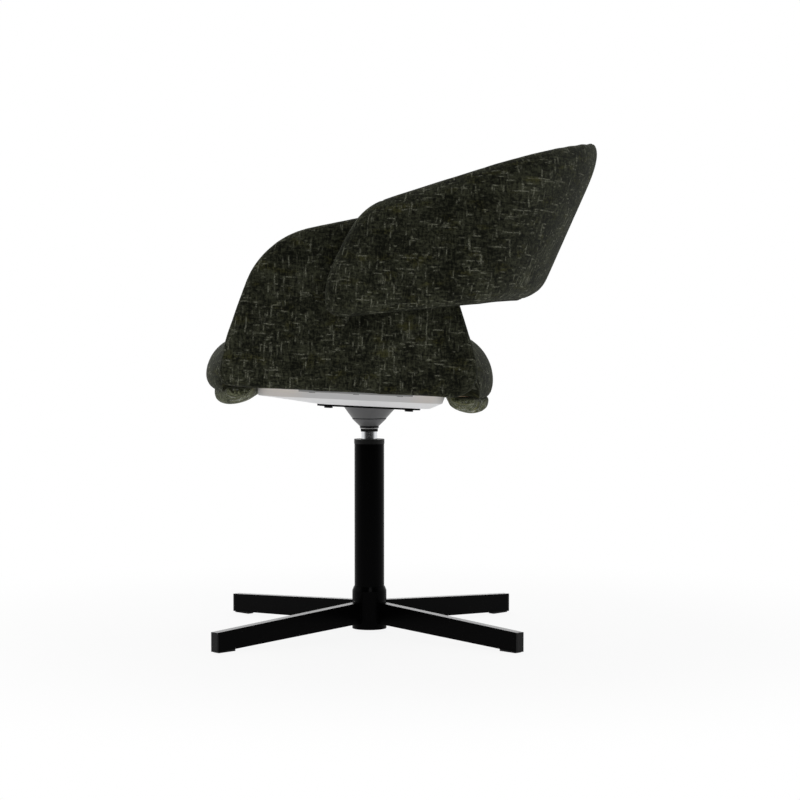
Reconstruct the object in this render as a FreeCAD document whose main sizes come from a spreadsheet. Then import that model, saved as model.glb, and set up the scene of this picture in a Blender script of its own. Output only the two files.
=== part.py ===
import FreeCAD, Part
import math
import os
import re
import Sketcher
from FreeCAD import Placement, Rotation, Vector

# Swivel dining chair: four-leg base, column and spindle, padded seat with two wings and a backrest band.
# Frame: +Z up, front towards -Y, origin on the floor under the middle of the whole chair. Millimetres.
# The base is drawn about the swivel axis. Everything above the mounting plate is drawn level, with height
# counted from the underside of that plate, and then raked back as one.

SIZES = [
    # where the swivel axis stands, and the rake of everything above the mounting plate
    ("swivel_axis_forward", 51.25),
    ("seat_rake", 2.7),
    # hub and column
    ("hub_diameter", 57.3),
    ("hub_bottom_height", 5.5),
    ("hub_shoulder_height", 69.0),
    ("collar_height", 7.3),
    ("collar_land", 0.8),
    ("column_diameter", 49.7),
    ("column_wall", 2.5),
    ("column_bottom_height", 9.0),
    ("column_top_height", 314.7),
    ("sleeve_fit", 0.1),
    ("cap_floor", 3.0),
    ("cap_depth", 12.0),
    # legs, end caps and glides
    ("leg_reach", 340.0),
    ("leg_width", 14.0),
    ("leg_wall", 1.5),
    ("leg_hub_top_height", 51.0),
    ("leg_tip_top_height", 32.5),
    ("leg_hub_bottom_height", 15.6),
    ("leg_tip_bottom_height", 1.6),
    ("weld_gap", 0.05),
    ("end_cap_thickness", 3.0),
    ("end_cap_plug", 14.0),
    ("end_cap_fit", 0.2),
    ("glide_length", 35.0),
    ("glide_setback", 4.0),
    ("glide_width", 12.0),
    ("glide_toe", 1.0),
    ("glide_stud_diameter", 6.0),
    ("glide_stud_length", 5.0),
    ("glide_stud_fit", 0.1),
    # spindle, bushes and thrust bearing
    ("spindle_diameter", 26.6),
    ("spindle_depth", 181.7),
    ("spindle_neck_diameter", 20.0),
    ("spindle_top_gap", 8.5),
    ("running_clearance", 0.05),
    ("bush_rim_diameter", 50.6),
    ("bush_rim_height", 7.6),
    ("bush_depth", 40.0),
    ("lower_bush_gap", 8.0),
    ("lower_bush_height", 25.0),
    ("circlip_gap", 4.5),
    ("circlip_thickness", 1.5),
    ("circlip_diameter", 33.0),
    ("circlip_groove_depth", 1.6),
    ("circlip_fit", 0.1),
    ("circlip_opening", 40.0),
    ("pilot_diameter", 10.0),
    ("pilot_length", 12.0),
    ("race_diameter", 34.0),
    ("race_thickness", 2.0),
    ("ball_diameter", 4.0),
    ("ball_circle", 24.0),
    ("ball_count", 12),
    ("ball_clearance", 0.05),
    ("cage_diameter", 32.0),
    ("cage_thickness", 2.4),
    ("cage_bore_clearance", 0.4),
    ("bearing_seat_thickness", 6.0),
    # rings and cones between the spindle and the plate
    ("spindle_show_height", 12.7),
    ("dust_ring_height", 4.7),
    ("dust_ring_diameter", 28.7),
    ("thin_washer_height", 1.4),
    ("thin_washer_diameter", 30.4),
    ("collar_ring_height", 3.5),
    ("collar_ring_diameter", 31.7),
    ("ring_fit", 0.1),
    ("cone_small_diameter", 33.4),
    ("cone_lower_height", 11.8),
    ("cone_joint_diameter", 57.8),
    ("gasket_thickness", 1.2),
    ("gasket_inset", 0.7),
    ("cone_upper_height", 19.9),
    ("cone_top_diameter", 90.0),
    # mounting plate and its bolts
    ("plate_size", 169.0),
    ("plate_thickness", 3.0),
    ("plate_corner", 14.0),
    ("bolt_pitch", 132.0),
    ("bolt_diameter", 8.0),
    ("bolt_length", 43.0),
    ("bolt_head_diameter", 14.0),
    ("bolt_head_height", 3.2),
    ("bolt_socket_size", 5.0),
    ("bolt_socket_depth", 2.0),
    ("bolt_fit", 0.2),
    ("nut_fit", 0.05),
    ("nut_barrel_diameter", 10.0),
    ("nut_barrel_length", 11.0),
    ("nut_flange_diameter", 20.0),
    ("nut_flange_thickness", 1.6),
    # pan under the seat
    ("pan_sheet", 1.6),
    ("pan_depth", 27.0),
    ("pan_knee", 12.0),
    ("pan_floor_front", 84.0),
    ("pan_floor_rear", 100.0),
    ("pan_floor_width", 172.0),
    ("pan_floor_corner", 16.0),
    ("pan_knee_front", 178.0),
    ("pan_knee_rear", 119.0),
    ("pan_knee_width", 300.0),
    ("pan_rim_front", 180.0),
    ("pan_rim_rear", 124.0),
    ("pan_rim_width", 304.0),
    ("pan_corner", 26.0),
    # spacer block and seat board
    ("block_size", 160.0),
    ("block_corner", 8.0),
    ("board_thickness", 15.0),
    ("board_front", 226.0),
    ("board_rear", 171.0),
    ("board_side_gap", 2.5),
    ("board_corner", 34.0),
    ("padding_gap", 0.4),
    # seat cushion: noses, rolls and crown in the middle section, and how they ease off to the sides
    ("cushion_front", 273.0),
    ("cushion_rear", 204.5),
    ("cushion_side_gap", 1.5),
    ("cushion_front_bow", 34.0),
    ("cushion_rear_bow", 30.0),
    ("cushion_crown", 12.0),
    ("cushion_end_inset", 9.0),
    ("front_nose_height", 42.0),
    ("front_roll_radius", 67.0),
    ("front_lip_height", 18.5),
    ("front_lip_inset", 13.5),
    ("rear_nose_height", 49.0),
    ("rear_roll_radius", 81.0),
    ("rear_lip_height", 23.0),
    ("rear_lip_inset", 9.3),
    # padded rolls under the cushion's front and rear
    ("under_roll_width", 360.0),
    ("under_roll_end_lift", 0.85),
    ("front_under_face", 15.5),
    ("front_under_low_inset", 38.0),
    ("front_under_low_depth", 6.8),
    ("front_under_back_height", 11.0),
    ("rear_under_face", 7.5),
    ("rear_under_low_inset", 35.0),
    ("rear_under_low_depth", 1.6),
    ("rear_under_back_height", 13.0),
    ("under_roll_pan_gap", 4.0),
    # wings: panel set at the sides of the board, leaning out. Outline heights count from the board's underside.
    ("wing_spread", 430.0),
    ("wing_lean", 5.0),
    ("wing_thickness", 40.0),
    ("wing_edge_thickness", 29.0),
    ("wing_edge_round", 0.43),
    ("wing_hem_depth", 1.0),
    ("wing_front_foot", 237.5),
    ("wing_front_foot_round", 0.277),
    ("wing_front_waist", 224.5),
    ("wing_front_waist_height", 75.0),
    ("wing_front_waist_round", 0.138),
    ("wing_front_shoulder", 175.0),
    ("wing_front_shoulder_height", 234.0),
    ("wing_front_shoulder_round", 0.458),
    ("wing_rear_shoulder", 80.0),
    ("wing_rear_shoulder_height", 298.0),
    ("wing_rear_shoulder_round", 0.154),
    ("wing_rear_waist", 170.5),
    ("wing_rear_waist_height", 52.0),
    ("wing_rear_waist_round", 0.145),
    ("wing_rear_foot", 173.0),
    ("wing_rear_foot_round", 0.711),
    ("wing_core_thickness", 12.0),
    ("wing_core_inset", 24.0),
    ("core_corner_radius", 8.0),
    ("core_corner_share", 0.45),
    # brackets from the board to the wing cores
    ("bracket_thickness", 3.0),
    ("bracket_length", 180.0),
    ("bracket_forward", 20.0),
    ("bracket_pan_gap", 2.5),
    ("bracket_height", 62.0),
    ("screw_diameter", 5.0),
    ("screw_length", 12.0),
    ("screw_head_diameter", 10.0),
    ("screw_head_height", 2.5),
    ("screw_pitch", 70.0),
    ("screw_edge", 16.0),
    ("pin_diameter", 6.0),
    ("pin_height", 46.0),
    ("fastener_fit", 0.1),
    # backrest band. Outline heights count from the mounting plate.
    ("band_thickness", 46.0),
    ("band_edge_round", 0.39),
    ("band_wing_gap", 1.0),
    ("band_front", 73.9),
    ("band_front_height", 144.2),
    ("band_front_round", 0.386),
    ("band_cheek", 71.9),
    ("band_cheek_rise", 65.1),
    ("band_cheek_round", 0.511),
    ("band_brow", 20.0),
    ("band_brow_rise", 109.6),
    ("band_brow_round", 0.306),
    ("band_hidden_round", 0.1),
    ("band_crest", 367.0),
    ("band_crest_height", 459.5),
    ("band_tail", 267.0),
    ("band_tail_height", 194.5),
    ("band_corner_radius", 130.0),
    ("band_back_radius", 480.0),
    ("band_core_thickness", 10.0),
    ("band_core_inset", 28.0),
    # bolts from the wing cores into the backrest core
    ("back_bolt_forward", 14.0),
    ("back_bolt_rear", 62.0),
    ("back_bolt_height", 200.0),
    ("back_bolt_diameter", 6.0),
    ("back_bolt_head_diameter", 12.0),
    ("back_bolt_head_height", 3.5),
    ("insert_diameter", 9.0),
]

doc = FreeCAD.newDocument("SwivelDiningChair")
sheet = doc.addObject("Spreadsheet::Sheet", "Sizes")
for row, (alias, number) in enumerate(SIZES, start=1):
    sheet.set("A%d" % row, alias)
    sheet.set("B%d" % row, str(number))
    sheet.setAlias("B%d" % row, alias)
doc.recompute()

nodes = []


def size(alias):
    return float(sheet.get(alias))


def value(expression):
    return float(sheet.evalExpression(expression))


def cell(text):
    # Turns the names of sizes in an expression into references to the sheet.
    names = {alias for alias, number in SIZES}
    return re.sub(r"[a-z_]+", lambda found: ("Sizes." if found[0] in names else "") + found[0], text)


# Expressions for sizes that several pieces share.


hub_bore = "column_diameter / 2 + sleeve_fit"
column_bore = "column_diameter / 2 - column_wall"
spindle_bore = "spindle_diameter / 2 + running_clearance"
spindle_low = "column_top_height - spindle_depth"
circlip_low = spindle_low + " + circlip_gap"
lower_bush_low = spindle_low + " + lower_bush_gap"
race_top = spindle_low + " - race_thickness"
ball_middle = race_top + " - ball_diameter / 2 - ball_clearance"
race_low = race_top + " - race_thickness - ball_diameter - 2 * ball_clearance"
pilot_bore = "pilot_diameter / 2 + running_clearance"
collar_top = "hub_shoulder_height + collar_height"
dust_ring_low = "column_top_height + bush_rim_height + spindle_show_height"
washer_low = dust_ring_low + " + dust_ring_height"
collar_ring_low = washer_low + " + thin_washer_height"
cone_low = collar_ring_low + " + collar_ring_height"
cone_joint = cone_low + " + cone_lower_height"
cone_upper_low = cone_joint + " + gasket_thickness"
plate_level = cone_upper_low + " + cone_upper_height"
ring_bore = "spindle_diameter / 2 + ring_fit"
neck_bore = "spindle_neck_diameter / 2 + ring_fit"
board_bottom = "plate_thickness + pan_depth"
board_top = "plate_thickness + pan_depth + board_thickness"
board_half_width = "wing_spread / 2 - wing_thickness / 2 - board_side_gap"
leg_tube_end = "leg_reach - end_cap_thickness"


# Sketch and feature helpers.
def new_body(label):
    body = doc.addObject("PartDesign::Body", label)
    body.Label = label
    nodes.append(body)
    return body


def origin_feature(body, role):
    return [feature for feature in body.Origin.OriginFeatures if feature.Role == role][0]


def new_sketch(body, name, plane, offset="0"):
    sketch = body.newObject("Sketcher::SketchObject", name)
    sketch.AttachmentSupport = [(origin_feature(body, plane), "")]
    sketch.MapMode = "FlatFace"
    sketch.setExpression("AttachmentOffset.Base.z", cell(offset))
    return sketch


def bind(sketch, constraint, expression):
    index = sketch.addConstraint(constraint)
    sketch.setExpression("Constraints[%d]" % index, cell(expression))


def pin_point(sketch, geometry, end, corner):
    for kind, expression in zip(("DistanceX", "DistanceY"), corner):
        bind(sketch, Sketcher.Constraint(kind, -1, 1, geometry, end, value(cell(expression))), expression)


def corner_arc(before, corner, after, radius):
    # The two tangent points, centre and middle of a round at a corner between straight runs.
    toward = (before - corner).normalize()
    away = (after - corner).normalize()
    half = math.acos(max(-1.0, min(1.0, toward.dot(away)))) / 2
    reach = radius / math.tan(half)
    bisector = (toward + away).normalize()
    centre = corner + bisector * (radius / math.sin(half))
    return corner + toward * reach, corner + away * reach, centre, centre - bisector * radius


def draw_outline(sketch, corners):
    # A closed outline. A corner is (x, y) or (x, y, radius), each an expression.
    count = len(corners)
    points = [Vector(value(cell(c[0])), value(cell(c[1])), 0) for c in corners]
    starts = list(points)
    ends = list(points)
    arcs = {}
    for i, corner in enumerate(corners):
        if len(corner) == 3:
            radius = value(cell(corner[2]))
            ends[i], starts[i], centre, middle = corner_arc(points[i - 1], points[i], points[(i + 1) % count], radius)
            arcs[i] = Part.Arc(ends[i], middle, starts[i])
    lines = []
    for i in range(count):
        lines.append(sketch.addGeometry(Part.LineSegment(starts[i], ends[(i + 1) % count]), False))
    for i, corner in enumerate(corners):
        before, after = lines[i - 1], lines[i]
        if i not in arcs:
            sketch.addConstraint(Sketcher.Constraint("Coincident", before, 2, after, 1))
            pin_point(sketch, after, 1, corner)
            continue
        arc = sketch.addGeometry(arcs[i], False)
        first = sketch.Geometry[arc].StartPoint.distanceToPoint(ends[i]) < 1e-6
        sketch.addConstraint(Sketcher.Constraint("Tangent", before, 2, arc, 1 if first else 2))
        sketch.addConstraint(Sketcher.Constraint("Tangent", arc, 2 if first else 1, after, 1))
        bind(sketch, Sketcher.Constraint("Radius", arc, value(cell(corner[2]))), corner[2])
        apex = sketch.addGeometry(Part.Point(points[i]), True)
        sketch.addConstraint(Sketcher.Constraint("PointOnObject", apex, 1, before))
        sketch.addConstraint(Sketcher.Constraint("PointOnObject", apex, 1, after))
        pin_point(sketch, apex, 1, corner)


def draw_circle(sketch, x, y, radius):
    centre = Vector(value(cell(x)), value(cell(y)), 0)
    circle = sketch.addGeometry(Part.Circle(centre, Vector(0, 0, 1), value(cell(radius))), False)
    bind(sketch, Sketcher.Constraint("Radius", circle, value(cell(radius))), radius)
    pin_point(sketch, circle, 3, (x, y))


def revolved(body, name, corners, angle=360):
    # Turns a profile of (radius, height) corners about the swivel axis.
    sketch = new_sketch(body, name + "_profile", "XZ_Plane")
    draw_outline(sketch, corners)
    feature = body.newObject("PartDesign::Revolution", name)
    feature.Profile = sketch
    feature.ReferenceAxis = (sketch, ["V_Axis"])
    feature.Angle = angle
    return feature


def ring(body, name, inner, outer, bottom, top):
    return revolved(body, name, [(inner, bottom), (outer, bottom), (outer, top), (inner, top)])


def padded_out(body, sketch, length, symmetric=False):
    feature = body.newObject("PartDesign::Pad", sketch.Name + "_pad")
    feature.Profile = sketch
    feature.setExpression("Length", cell(length))
    if symmetric:
        feature.SideType = "Symmetric"
    return feature


def cut_out(body, sketch, length=None, symmetric=False):
    feature = body.newObject("PartDesign::Pocket", sketch.Name + "_cut")
    feature.Profile = sketch
    feature.SideType = "Symmetric" if symmetric else "One side"
    if length is None:
        feature.Type = "ThroughAll"
    else:
        feature.setExpression("Length", cell(length))
    return feature


def patterned(body, features, count):
    pattern = body.newObject("PartDesign::PolarPattern", features[0].Name + "_round")
    pattern.Originals = features
    pattern.Axis = (origin_feature(body, "Z_Axis"), [""])
    pattern.Angle = 360
    pattern.setExpression("Occurrences", cell(count))
    body.Tip = pattern
    return pattern


def round_rod(body, kind, name, x, y, bottom, radius, height):
    rod = body.newObject("PartDesign::" + kind, name)
    rod.AttachmentSupport = [(origin_feature(body, "XY_Plane"), "")]
    rod.MapMode = "FlatFace"
    for axis, expression in zip("xyz", (x, y, bottom)):
        rod.setExpression("AttachmentOffset.Base." + axis, cell(expression))
    rod.setExpression("Radius", cell(radius))
    rod.setExpression("Height", cell(height))
    return rod


def stand_on_axis(piece, turn=0):
    # Puts a piece of the base or spindle on the swivel axis.
    piece.Placement = Placement(Vector(0, 0, 0), Rotation(Vector(0, 0, 1), turn))
    piece.setExpression("Placement.Base.y", cell("- swivel_axis_forward"))


def rake_back(piece):
    # Puts a piece of the seat on the raked mounting plate.
    piece.Placement = Placement(Vector(0, 0, 0), Rotation(Vector(-1, 0, 0), 1))
    piece.setExpression("Placement.Base.y", cell("- swivel_axis_forward"))
    piece.setExpression("Placement.Base.z", cell(plate_level))
    piece.setExpression("Placement.Rotation.Angle", cell("seat_rake * 1 deg"))


def rectangle(left, right, front, rear, corner):
    return [(left, front, corner), (right, front, corner), (right, rear, corner), (left, rear, corner)]


def centred(width, corner):
    half = "( %s ) / 2" % width
    return rectangle("- " + half, half, "- " + half, half, corner)


# Base: hub, column and cap.
def make_hub():
    body = new_body("base_hub")
    hub_radius = "hub_diameter / 2"
    land = hub_bore + " + collar_land"
    revolved(body, "hub", [
        (hub_bore, "hub_bottom_height"),
        (hub_radius, "hub_bottom_height"),
        (hub_radius, "hub_shoulder_height"),
        (land, collar_top),
        (hub_bore, collar_top),
    ])
    stand_on_axis(body)


def make_column():
    body = new_body("column_tube")
    ring(body, "column", column_bore, "column_diameter / 2", "column_bottom_height", "column_top_height")
    stand_on_axis(body)


def make_bottom_cap():
    # A cup pressed up into the column, with its floor level with the underside of the hub.
    body = new_body("hub_bottom_cap")
    outer = column_bore + " - sleeve_fit"
    inner = column_bore + " - sleeve_fit - cap_floor"
    flange = "column_diameter / 2"
    floor_top = "hub_bottom_height + cap_floor"
    revolved(body, "cap", [
        ("0", "hub_bottom_height"),
        (flange, "hub_bottom_height"),
        (flange, floor_top),
        (outer, floor_top),
        (outer, "hub_bottom_height + cap_depth"),
        (inner, "hub_bottom_height + cap_depth"),
        (inner, floor_top),
        ("0", floor_top),
    ])
    stand_on_axis(body)


# Legs: each is drawn along +X and then turned to its corner.
def leg_height(edge, at):
    # Height of the leg's top or bottom edge at a distance from the swivel axis.
    slope = "( leg_tip_%s_height - leg_hub_%s_height ) / ( leg_reach - hub_diameter / 2 )" % (edge, edge)
    return "leg_hub_%s_height + ( %s - hub_diameter / 2 ) * %s" % (edge, at, slope)


def leg_side(start, end, inset):
    return [
        (start, leg_height("bottom", start) + " + " + inset),
        (end, leg_height("bottom", end) + " + " + inset),
        (end, leg_height("top", end) + " - " + inset),
        (start, leg_height("top", start) + " - " + inset),
    ]


glide_middle = "( leg_reach - glide_setback - glide_length / 2 )"


def make_leg(corner, turn):
    body = new_body("leg_" + corner)
    side = new_sketch(body, "leg_side_" + corner, "XZ_Plane")
    draw_outline(side, leg_side("hub_diameter / 4", leg_tube_end, "0"))
    padded_out(body, side, "leg_width", symmetric=True)
    hollow = new_sketch(body, "leg_hollow_" + corner, "XZ_Plane")
    draw_outline(hollow, leg_side("hub_diameter / 4 - leg_wall", leg_tube_end + " + leg_wall", "leg_wall"))
    cut_out(body, hollow, "leg_width - 2 * leg_wall", symmetric=True)
    saddle = new_sketch(body, "leg_saddle_" + corner, "XY_Plane")
    draw_circle(saddle, "0", "0", "hub_diameter / 2 + weld_gap")
    cut_out(body, saddle, symmetric=True)
    stud_hole = new_sketch(body, "leg_stud_hole_" + corner, "XY_Plane", "leg_hub_top_height / 4")
    draw_circle(stud_hole, glide_middle, "0", "glide_stud_diameter / 2 + glide_stud_fit")
    cut_out(body, stud_hole)
    stand_on_axis(body, turn)


def make_leg_cap(corner, turn):
    body = new_body("leg_cap_" + corner)
    face = new_sketch(body, "cap_face_" + corner, "XZ_Plane")
    draw_outline(face, leg_side(leg_tube_end, "leg_reach", "0"))
    padded_out(body, face, "leg_width", symmetric=True)
    plug = new_sketch(body, "cap_plug_" + corner, "XZ_Plane")
    plug_start = leg_tube_end + " - end_cap_plug"
    draw_outline(plug, leg_side(plug_start, leg_tube_end, "( leg_wall + end_cap_fit )"))
    padded_out(body, plug, "leg_width - 2 * leg_wall - 2 * end_cap_fit", symmetric=True)
    stand_on_axis(body, turn)


def make_glide(corner, turn):
    # A wedge that makes up the leg's slope, flat on the floor, with a stud up into the leg.
    body = new_body("glide_" + corner)
    outer = "leg_reach - glide_setback"
    inner = outer + " - glide_length"
    side = new_sketch(body, "glide_side_" + corner, "XZ_Plane")
    draw_outline(side, [
        (inner, "0"),
        (outer + " - glide_toe", "0"),
        (outer, "glide_toe"),
        (outer, leg_height("bottom", "( " + outer + " )")),
        (inner, leg_height("bottom", "( " + inner + " )")),
    ])
    padded_out(body, side, "glide_width", symmetric=True)
    foot = "leg_tip_bottom_height / 2"
    stud = leg_height("bottom", glide_middle) + " - leg_tip_bottom_height / 2 + glide_stud_length"
    round_rod(body, "AdditiveCylinder", "glide_stud_" + corner, glide_middle, "0", foot,
              "glide_stud_diameter / 2", stud)
    stand_on_axis(body, turn)


# Spindle, its bushes and the thrust bearing that carries the seat.
def make_top_bush():
    body = new_body("column_top_bush")
    sleeve = column_bore + " - sleeve_fit"
    rim = "bush_rim_diameter / 2"
    rim_top = "column_top_height + bush_rim_height"
    revolved(body, "top_bush", [
        (spindle_bore, "column_top_height - bush_depth"),
        (sleeve, "column_top_height - bush_depth"),
        (sleeve, "column_top_height"),
        (rim, "column_top_height"),
        (rim, rim_top),
        (spindle_bore, rim_top),
    ])
    stand_on_axis(body)


def make_lower_bush():
    body = new_body("column_lower_bush")
    sleeve = column_bore + " - sleeve_fit"
    ring(body, "lower_bush", spindle_bore, sleeve, lower_bush_low, lower_bush_low + " + lower_bush_height")
    stand_on_axis(body)


def make_bearing():
    seat = new_body("bearing_seat")
    disc_low = race_low + " - bearing_seat_thickness"
    ring(seat, "seat_disc", pilot_bore, column_bore + " - sleeve_fit", disc_low, race_low)
    lower = new_body("bearing_lower_race")
    ring(lower, "lower_race", pilot_bore, "race_diameter / 2", race_low, race_low + " + race_thickness")
    upper = new_body("bearing_upper_race")
    ring(upper, "upper_race", pilot_bore, "race_diameter / 2", race_top, spindle_low)
    cage = new_body("ball_cage")
    inner = "pilot_diameter / 2 + cage_bore_clearance"
    cage_bottom = ball_middle + " - cage_thickness / 2"
    cage_top = ball_middle + " + cage_thickness / 2"
    ring(cage, "cage_disc", inner, "cage_diameter / 2", cage_bottom, cage_top)
    window = new_sketch(cage, "cage_window", "XY_Plane")
    draw_circle(window, "ball_circle / 2", "0", "ball_diameter / 2 + ball_clearance")
    window_cut = cut_out(cage, window, symmetric=True)
    patterned(cage, [window_cut], "ball_count")
    balls = new_body("bearing_balls")
    ball = balls.newObject("PartDesign::AdditiveSphere", "ball")
    ball.AttachmentSupport = [(origin_feature(balls, "XY_Plane"), "")]
    ball.MapMode = "FlatFace"
    ball.setExpression("AttachmentOffset.Base.x", cell("ball_circle / 2"))
    ball.setExpression("AttachmentOffset.Base.z", cell(ball_middle))
    ball.setExpression("Radius", cell("ball_diameter / 2"))
    patterned(balls, [ball], "ball_count")
    for piece in (seat, lower, upper, cage, balls):
        stand_on_axis(piece)


def make_spindle():
    body = new_body("spindle")
    radius = "spindle_diameter / 2"
    groove = "spindle_diameter / 2 - circlip_groove_depth"
    groove_low = circlip_low + " - circlip_fit"
    groove_high = circlip_low + " + circlip_thickness + circlip_fit"
    pilot_low = spindle_low + " - pilot_length"
    top = plate_level + " - spindle_top_gap"
    revolved(body, "spindle_shaft", [
        ("0", pilot_low),
        ("pilot_diameter / 2", pilot_low),
        ("pilot_diameter / 2", spindle_low),
        (radius, spindle_low),
        (radius, groove_low),
        (groove, groove_low),
        (groove, groove_high),
        (radius, groove_high),
        (radius, cone_low),
        ("spindle_neck_diameter / 2", cone_low),
        ("spindle_neck_diameter / 2", top),
        ("0", top),
    ])
    stand_on_axis(body)


def make_circlip():
    body = new_body("spindle_circlip")
    inner = "spindle_diameter / 2 - circlip_groove_depth + circlip_fit"
    clip = ring(body, "circlip", inner, "circlip_diameter / 2", circlip_low, circlip_low + " + circlip_thickness")
    clip.setExpression("Angle", cell("360 - circlip_opening"))
    stand_on_axis(body)


def make_spindle_rings():
    rings = [
        ("dust_ring", dust_ring_low, washer_low, "dust_ring_diameter / 2"),
        ("spindle_washer", washer_low, collar_ring_low, "thin_washer_diameter / 2"),
        ("spindle_collar", collar_ring_low, cone_low, "collar_ring_diameter / 2"),
    ]
    for label, bottom, top, radius in rings:
        body = new_body(label)
        ring(body, label + "_ring", ring_bore, radius, bottom, top)
        stand_on_axis(body)


def make_cones():
    lower = new_body("hub_cone_lower")
    revolved(lower, "lower_cone", [
        (neck_bore, cone_low),
        ("cone_small_diameter / 2", cone_low),
        ("cone_joint_diameter / 2", cone_joint),
        (neck_bore, cone_joint),
    ])
    gasket = new_body("cone_gasket")
    ring(gasket, "gasket", neck_bore, "cone_joint_diameter / 2 - gasket_inset", cone_joint, cone_upper_low)
    # The upper cone starts level on the gasket and ends square to the raked plate.
    upper = new_body("hub_cone_upper")
    level = new_sketch(upper, "cone_level_rim", "XY_Plane", cone_upper_low)
    draw_circle(level, "0", "0", "cone_joint_diameter / 2")
    raked = new_sketch(upper, "cone_raked_rim", "XY_Plane", plate_level)
    raked.AttachmentOffset = Placement(Vector(0, 0, 0), Rotation(Vector(-1, 0, 0), 1))
    raked.setExpression("AttachmentOffset.Rotation.Angle", cell("seat_rake * 1 deg"))
    draw_circle(raked, "0", "0", "cone_top_diameter / 2")
    flare = upper.newObject("PartDesign::AdditiveLoft", "cone_flare")
    flare.Profile = level
    flare.Sections = [raked]
    socket = new_sketch(upper, "cone_socket", "XY_Plane")
    draw_circle(socket, "0", "0", neck_bore)
    cut_out(upper, socket, symmetric=True)
    for piece in (lower, gasket, upper):
        stand_on_axis(piece)


# Mounting plate, bolts, pan, block and board.
def bolt_holes(body, name, radius):
    sketch = new_sketch(body, name, "XY_Plane")
    draw_circle(sketch, "bolt_pitch / 2", "bolt_pitch / 2", radius)
    return patterned(body, [cut_out(body, sketch, symmetric=True)], "4")


def slab(label, corners, bottom, thickness):
    body = new_body(label)
    outline = new_sketch(body, label + "_outline", "XY_Plane", bottom)
    draw_outline(outline, corners)
    padded_out(body, outline, thickness)
    return body


def make_plate():
    body = slab("seat_plate", centred("plate_size", "plate_corner"), "0", "plate_thickness")
    bolt_holes(body, "plate_hole", "bolt_diameter / 2 + bolt_fit")
    rake_back(body)


def make_bolts():
    body = new_body("plate_bolts")
    at = "bolt_pitch / 2"
    head = round_rod(body, "AdditiveCylinder", "bolt_head", at, at, "- bolt_head_height",
                     "bolt_head_diameter / 2", "bolt_head_height")
    shank = round_rod(body, "AdditiveCylinder", "bolt_shank", at, at, "0", "bolt_diameter / 2", "bolt_length")
    socket = body.newObject("PartDesign::SubtractivePrism", "bolt_socket")
    socket.AttachmentSupport = [(origin_feature(body, "XY_Plane"), "")]
    socket.MapMode = "FlatFace"
    socket.Polygon = 6
    for axis, expression in zip("xyz", (at, at, "- bolt_head_height")):
        socket.setExpression("AttachmentOffset.Base." + axis, cell(expression))
    socket.setExpression("Circumradius", cell("bolt_socket_size / sqrt(3)"))
    socket.setExpression("Height", cell("bolt_socket_depth"))
    patterned(body, [head, shank, socket], "4")
    rake_back(body)


def make_tee_nuts():
    # Flange let into the top of the board, barrel down into it.
    body = new_body("tee_nuts")
    at = "bolt_pitch / 2"
    barrel_bottom = board_top + " - nut_barrel_length"
    flange_bottom = board_top + " - nut_flange_thickness"
    barrel = round_rod(body, "AdditiveCylinder", "nut_barrel", at, at, barrel_bottom,
                       "nut_barrel_diameter / 2", "nut_barrel_length")
    flange = round_rod(body, "AdditiveCylinder", "nut_flange", at, at, flange_bottom,
                       "nut_flange_diameter / 2", "nut_flange_thickness")
    bore = round_rod(body, "SubtractiveCylinder", "nut_bore", at, at, barrel_bottom,
                     "bolt_diameter / 2 + nut_fit", "nut_barrel_length")
    patterned(body, [barrel, flange, bore], "4")
    rake_back(body)


def pan_sections(body, name, inset, floor):
    # Floor, knee and rim outlines of the pan, drawn in by inset.
    levels = [
        ("floor", "plate_thickness + " + floor, "pan_floor_corner"),
        ("knee", "plate_thickness + pan_knee + " + floor, "pan_corner"),
        ("rim", board_bottom, "pan_corner"),
    ]
    sketches = []
    for level, height, corner in levels:
        side = "( pan_%s_width / 2 - %s )" % (level, inset)
        front = "- pan_%s_front + %s" % (level, inset)
        rear = "pan_%s_rear - %s" % (level, inset)
        sketch = new_sketch(body, name + "_" + level, "XY_Plane", height)
        draw_outline(sketch, rectangle("- " + side, side, front, rear, corner))
        sketches.append(sketch)
    return sketches


def make_pan():
    body = new_body("under_seat_pan")
    for kind, name, inset, floor in (
        ("AdditiveLoft", "pan_outside", "0", "0"),
        ("SubtractiveLoft", "pan_inside", "pan_sheet", "pan_sheet"),
    ):
        sketches = pan_sections(body, name, inset, floor)
        loft = body.newObject("PartDesign::" + kind, name)
        loft.Profile = sketches[0]
        loft.Sections = sketches[1:]
        loft.Ruled = True
    bolt_holes(body, "pan_hole", "bolt_diameter / 2 + bolt_fit")
    rake_back(body)


def make_block():
    body = slab("spacer_block", centred("block_size", "block_corner"), "plate_thickness + pan_sheet",
                "pan_depth - pan_sheet")
    bolt_holes(body, "block_hole", "bolt_diameter / 2 + bolt_fit")
    rake_back(body)


screw_rows = ["- bracket_forward - screw_pitch", "- bracket_forward", "- bracket_forward + screw_pitch"]
bracket_foot_edge = "pan_rim_width / 2 + bracket_pan_gap"
screw_line = "( " + bracket_foot_edge + " + screw_edge )"


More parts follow.
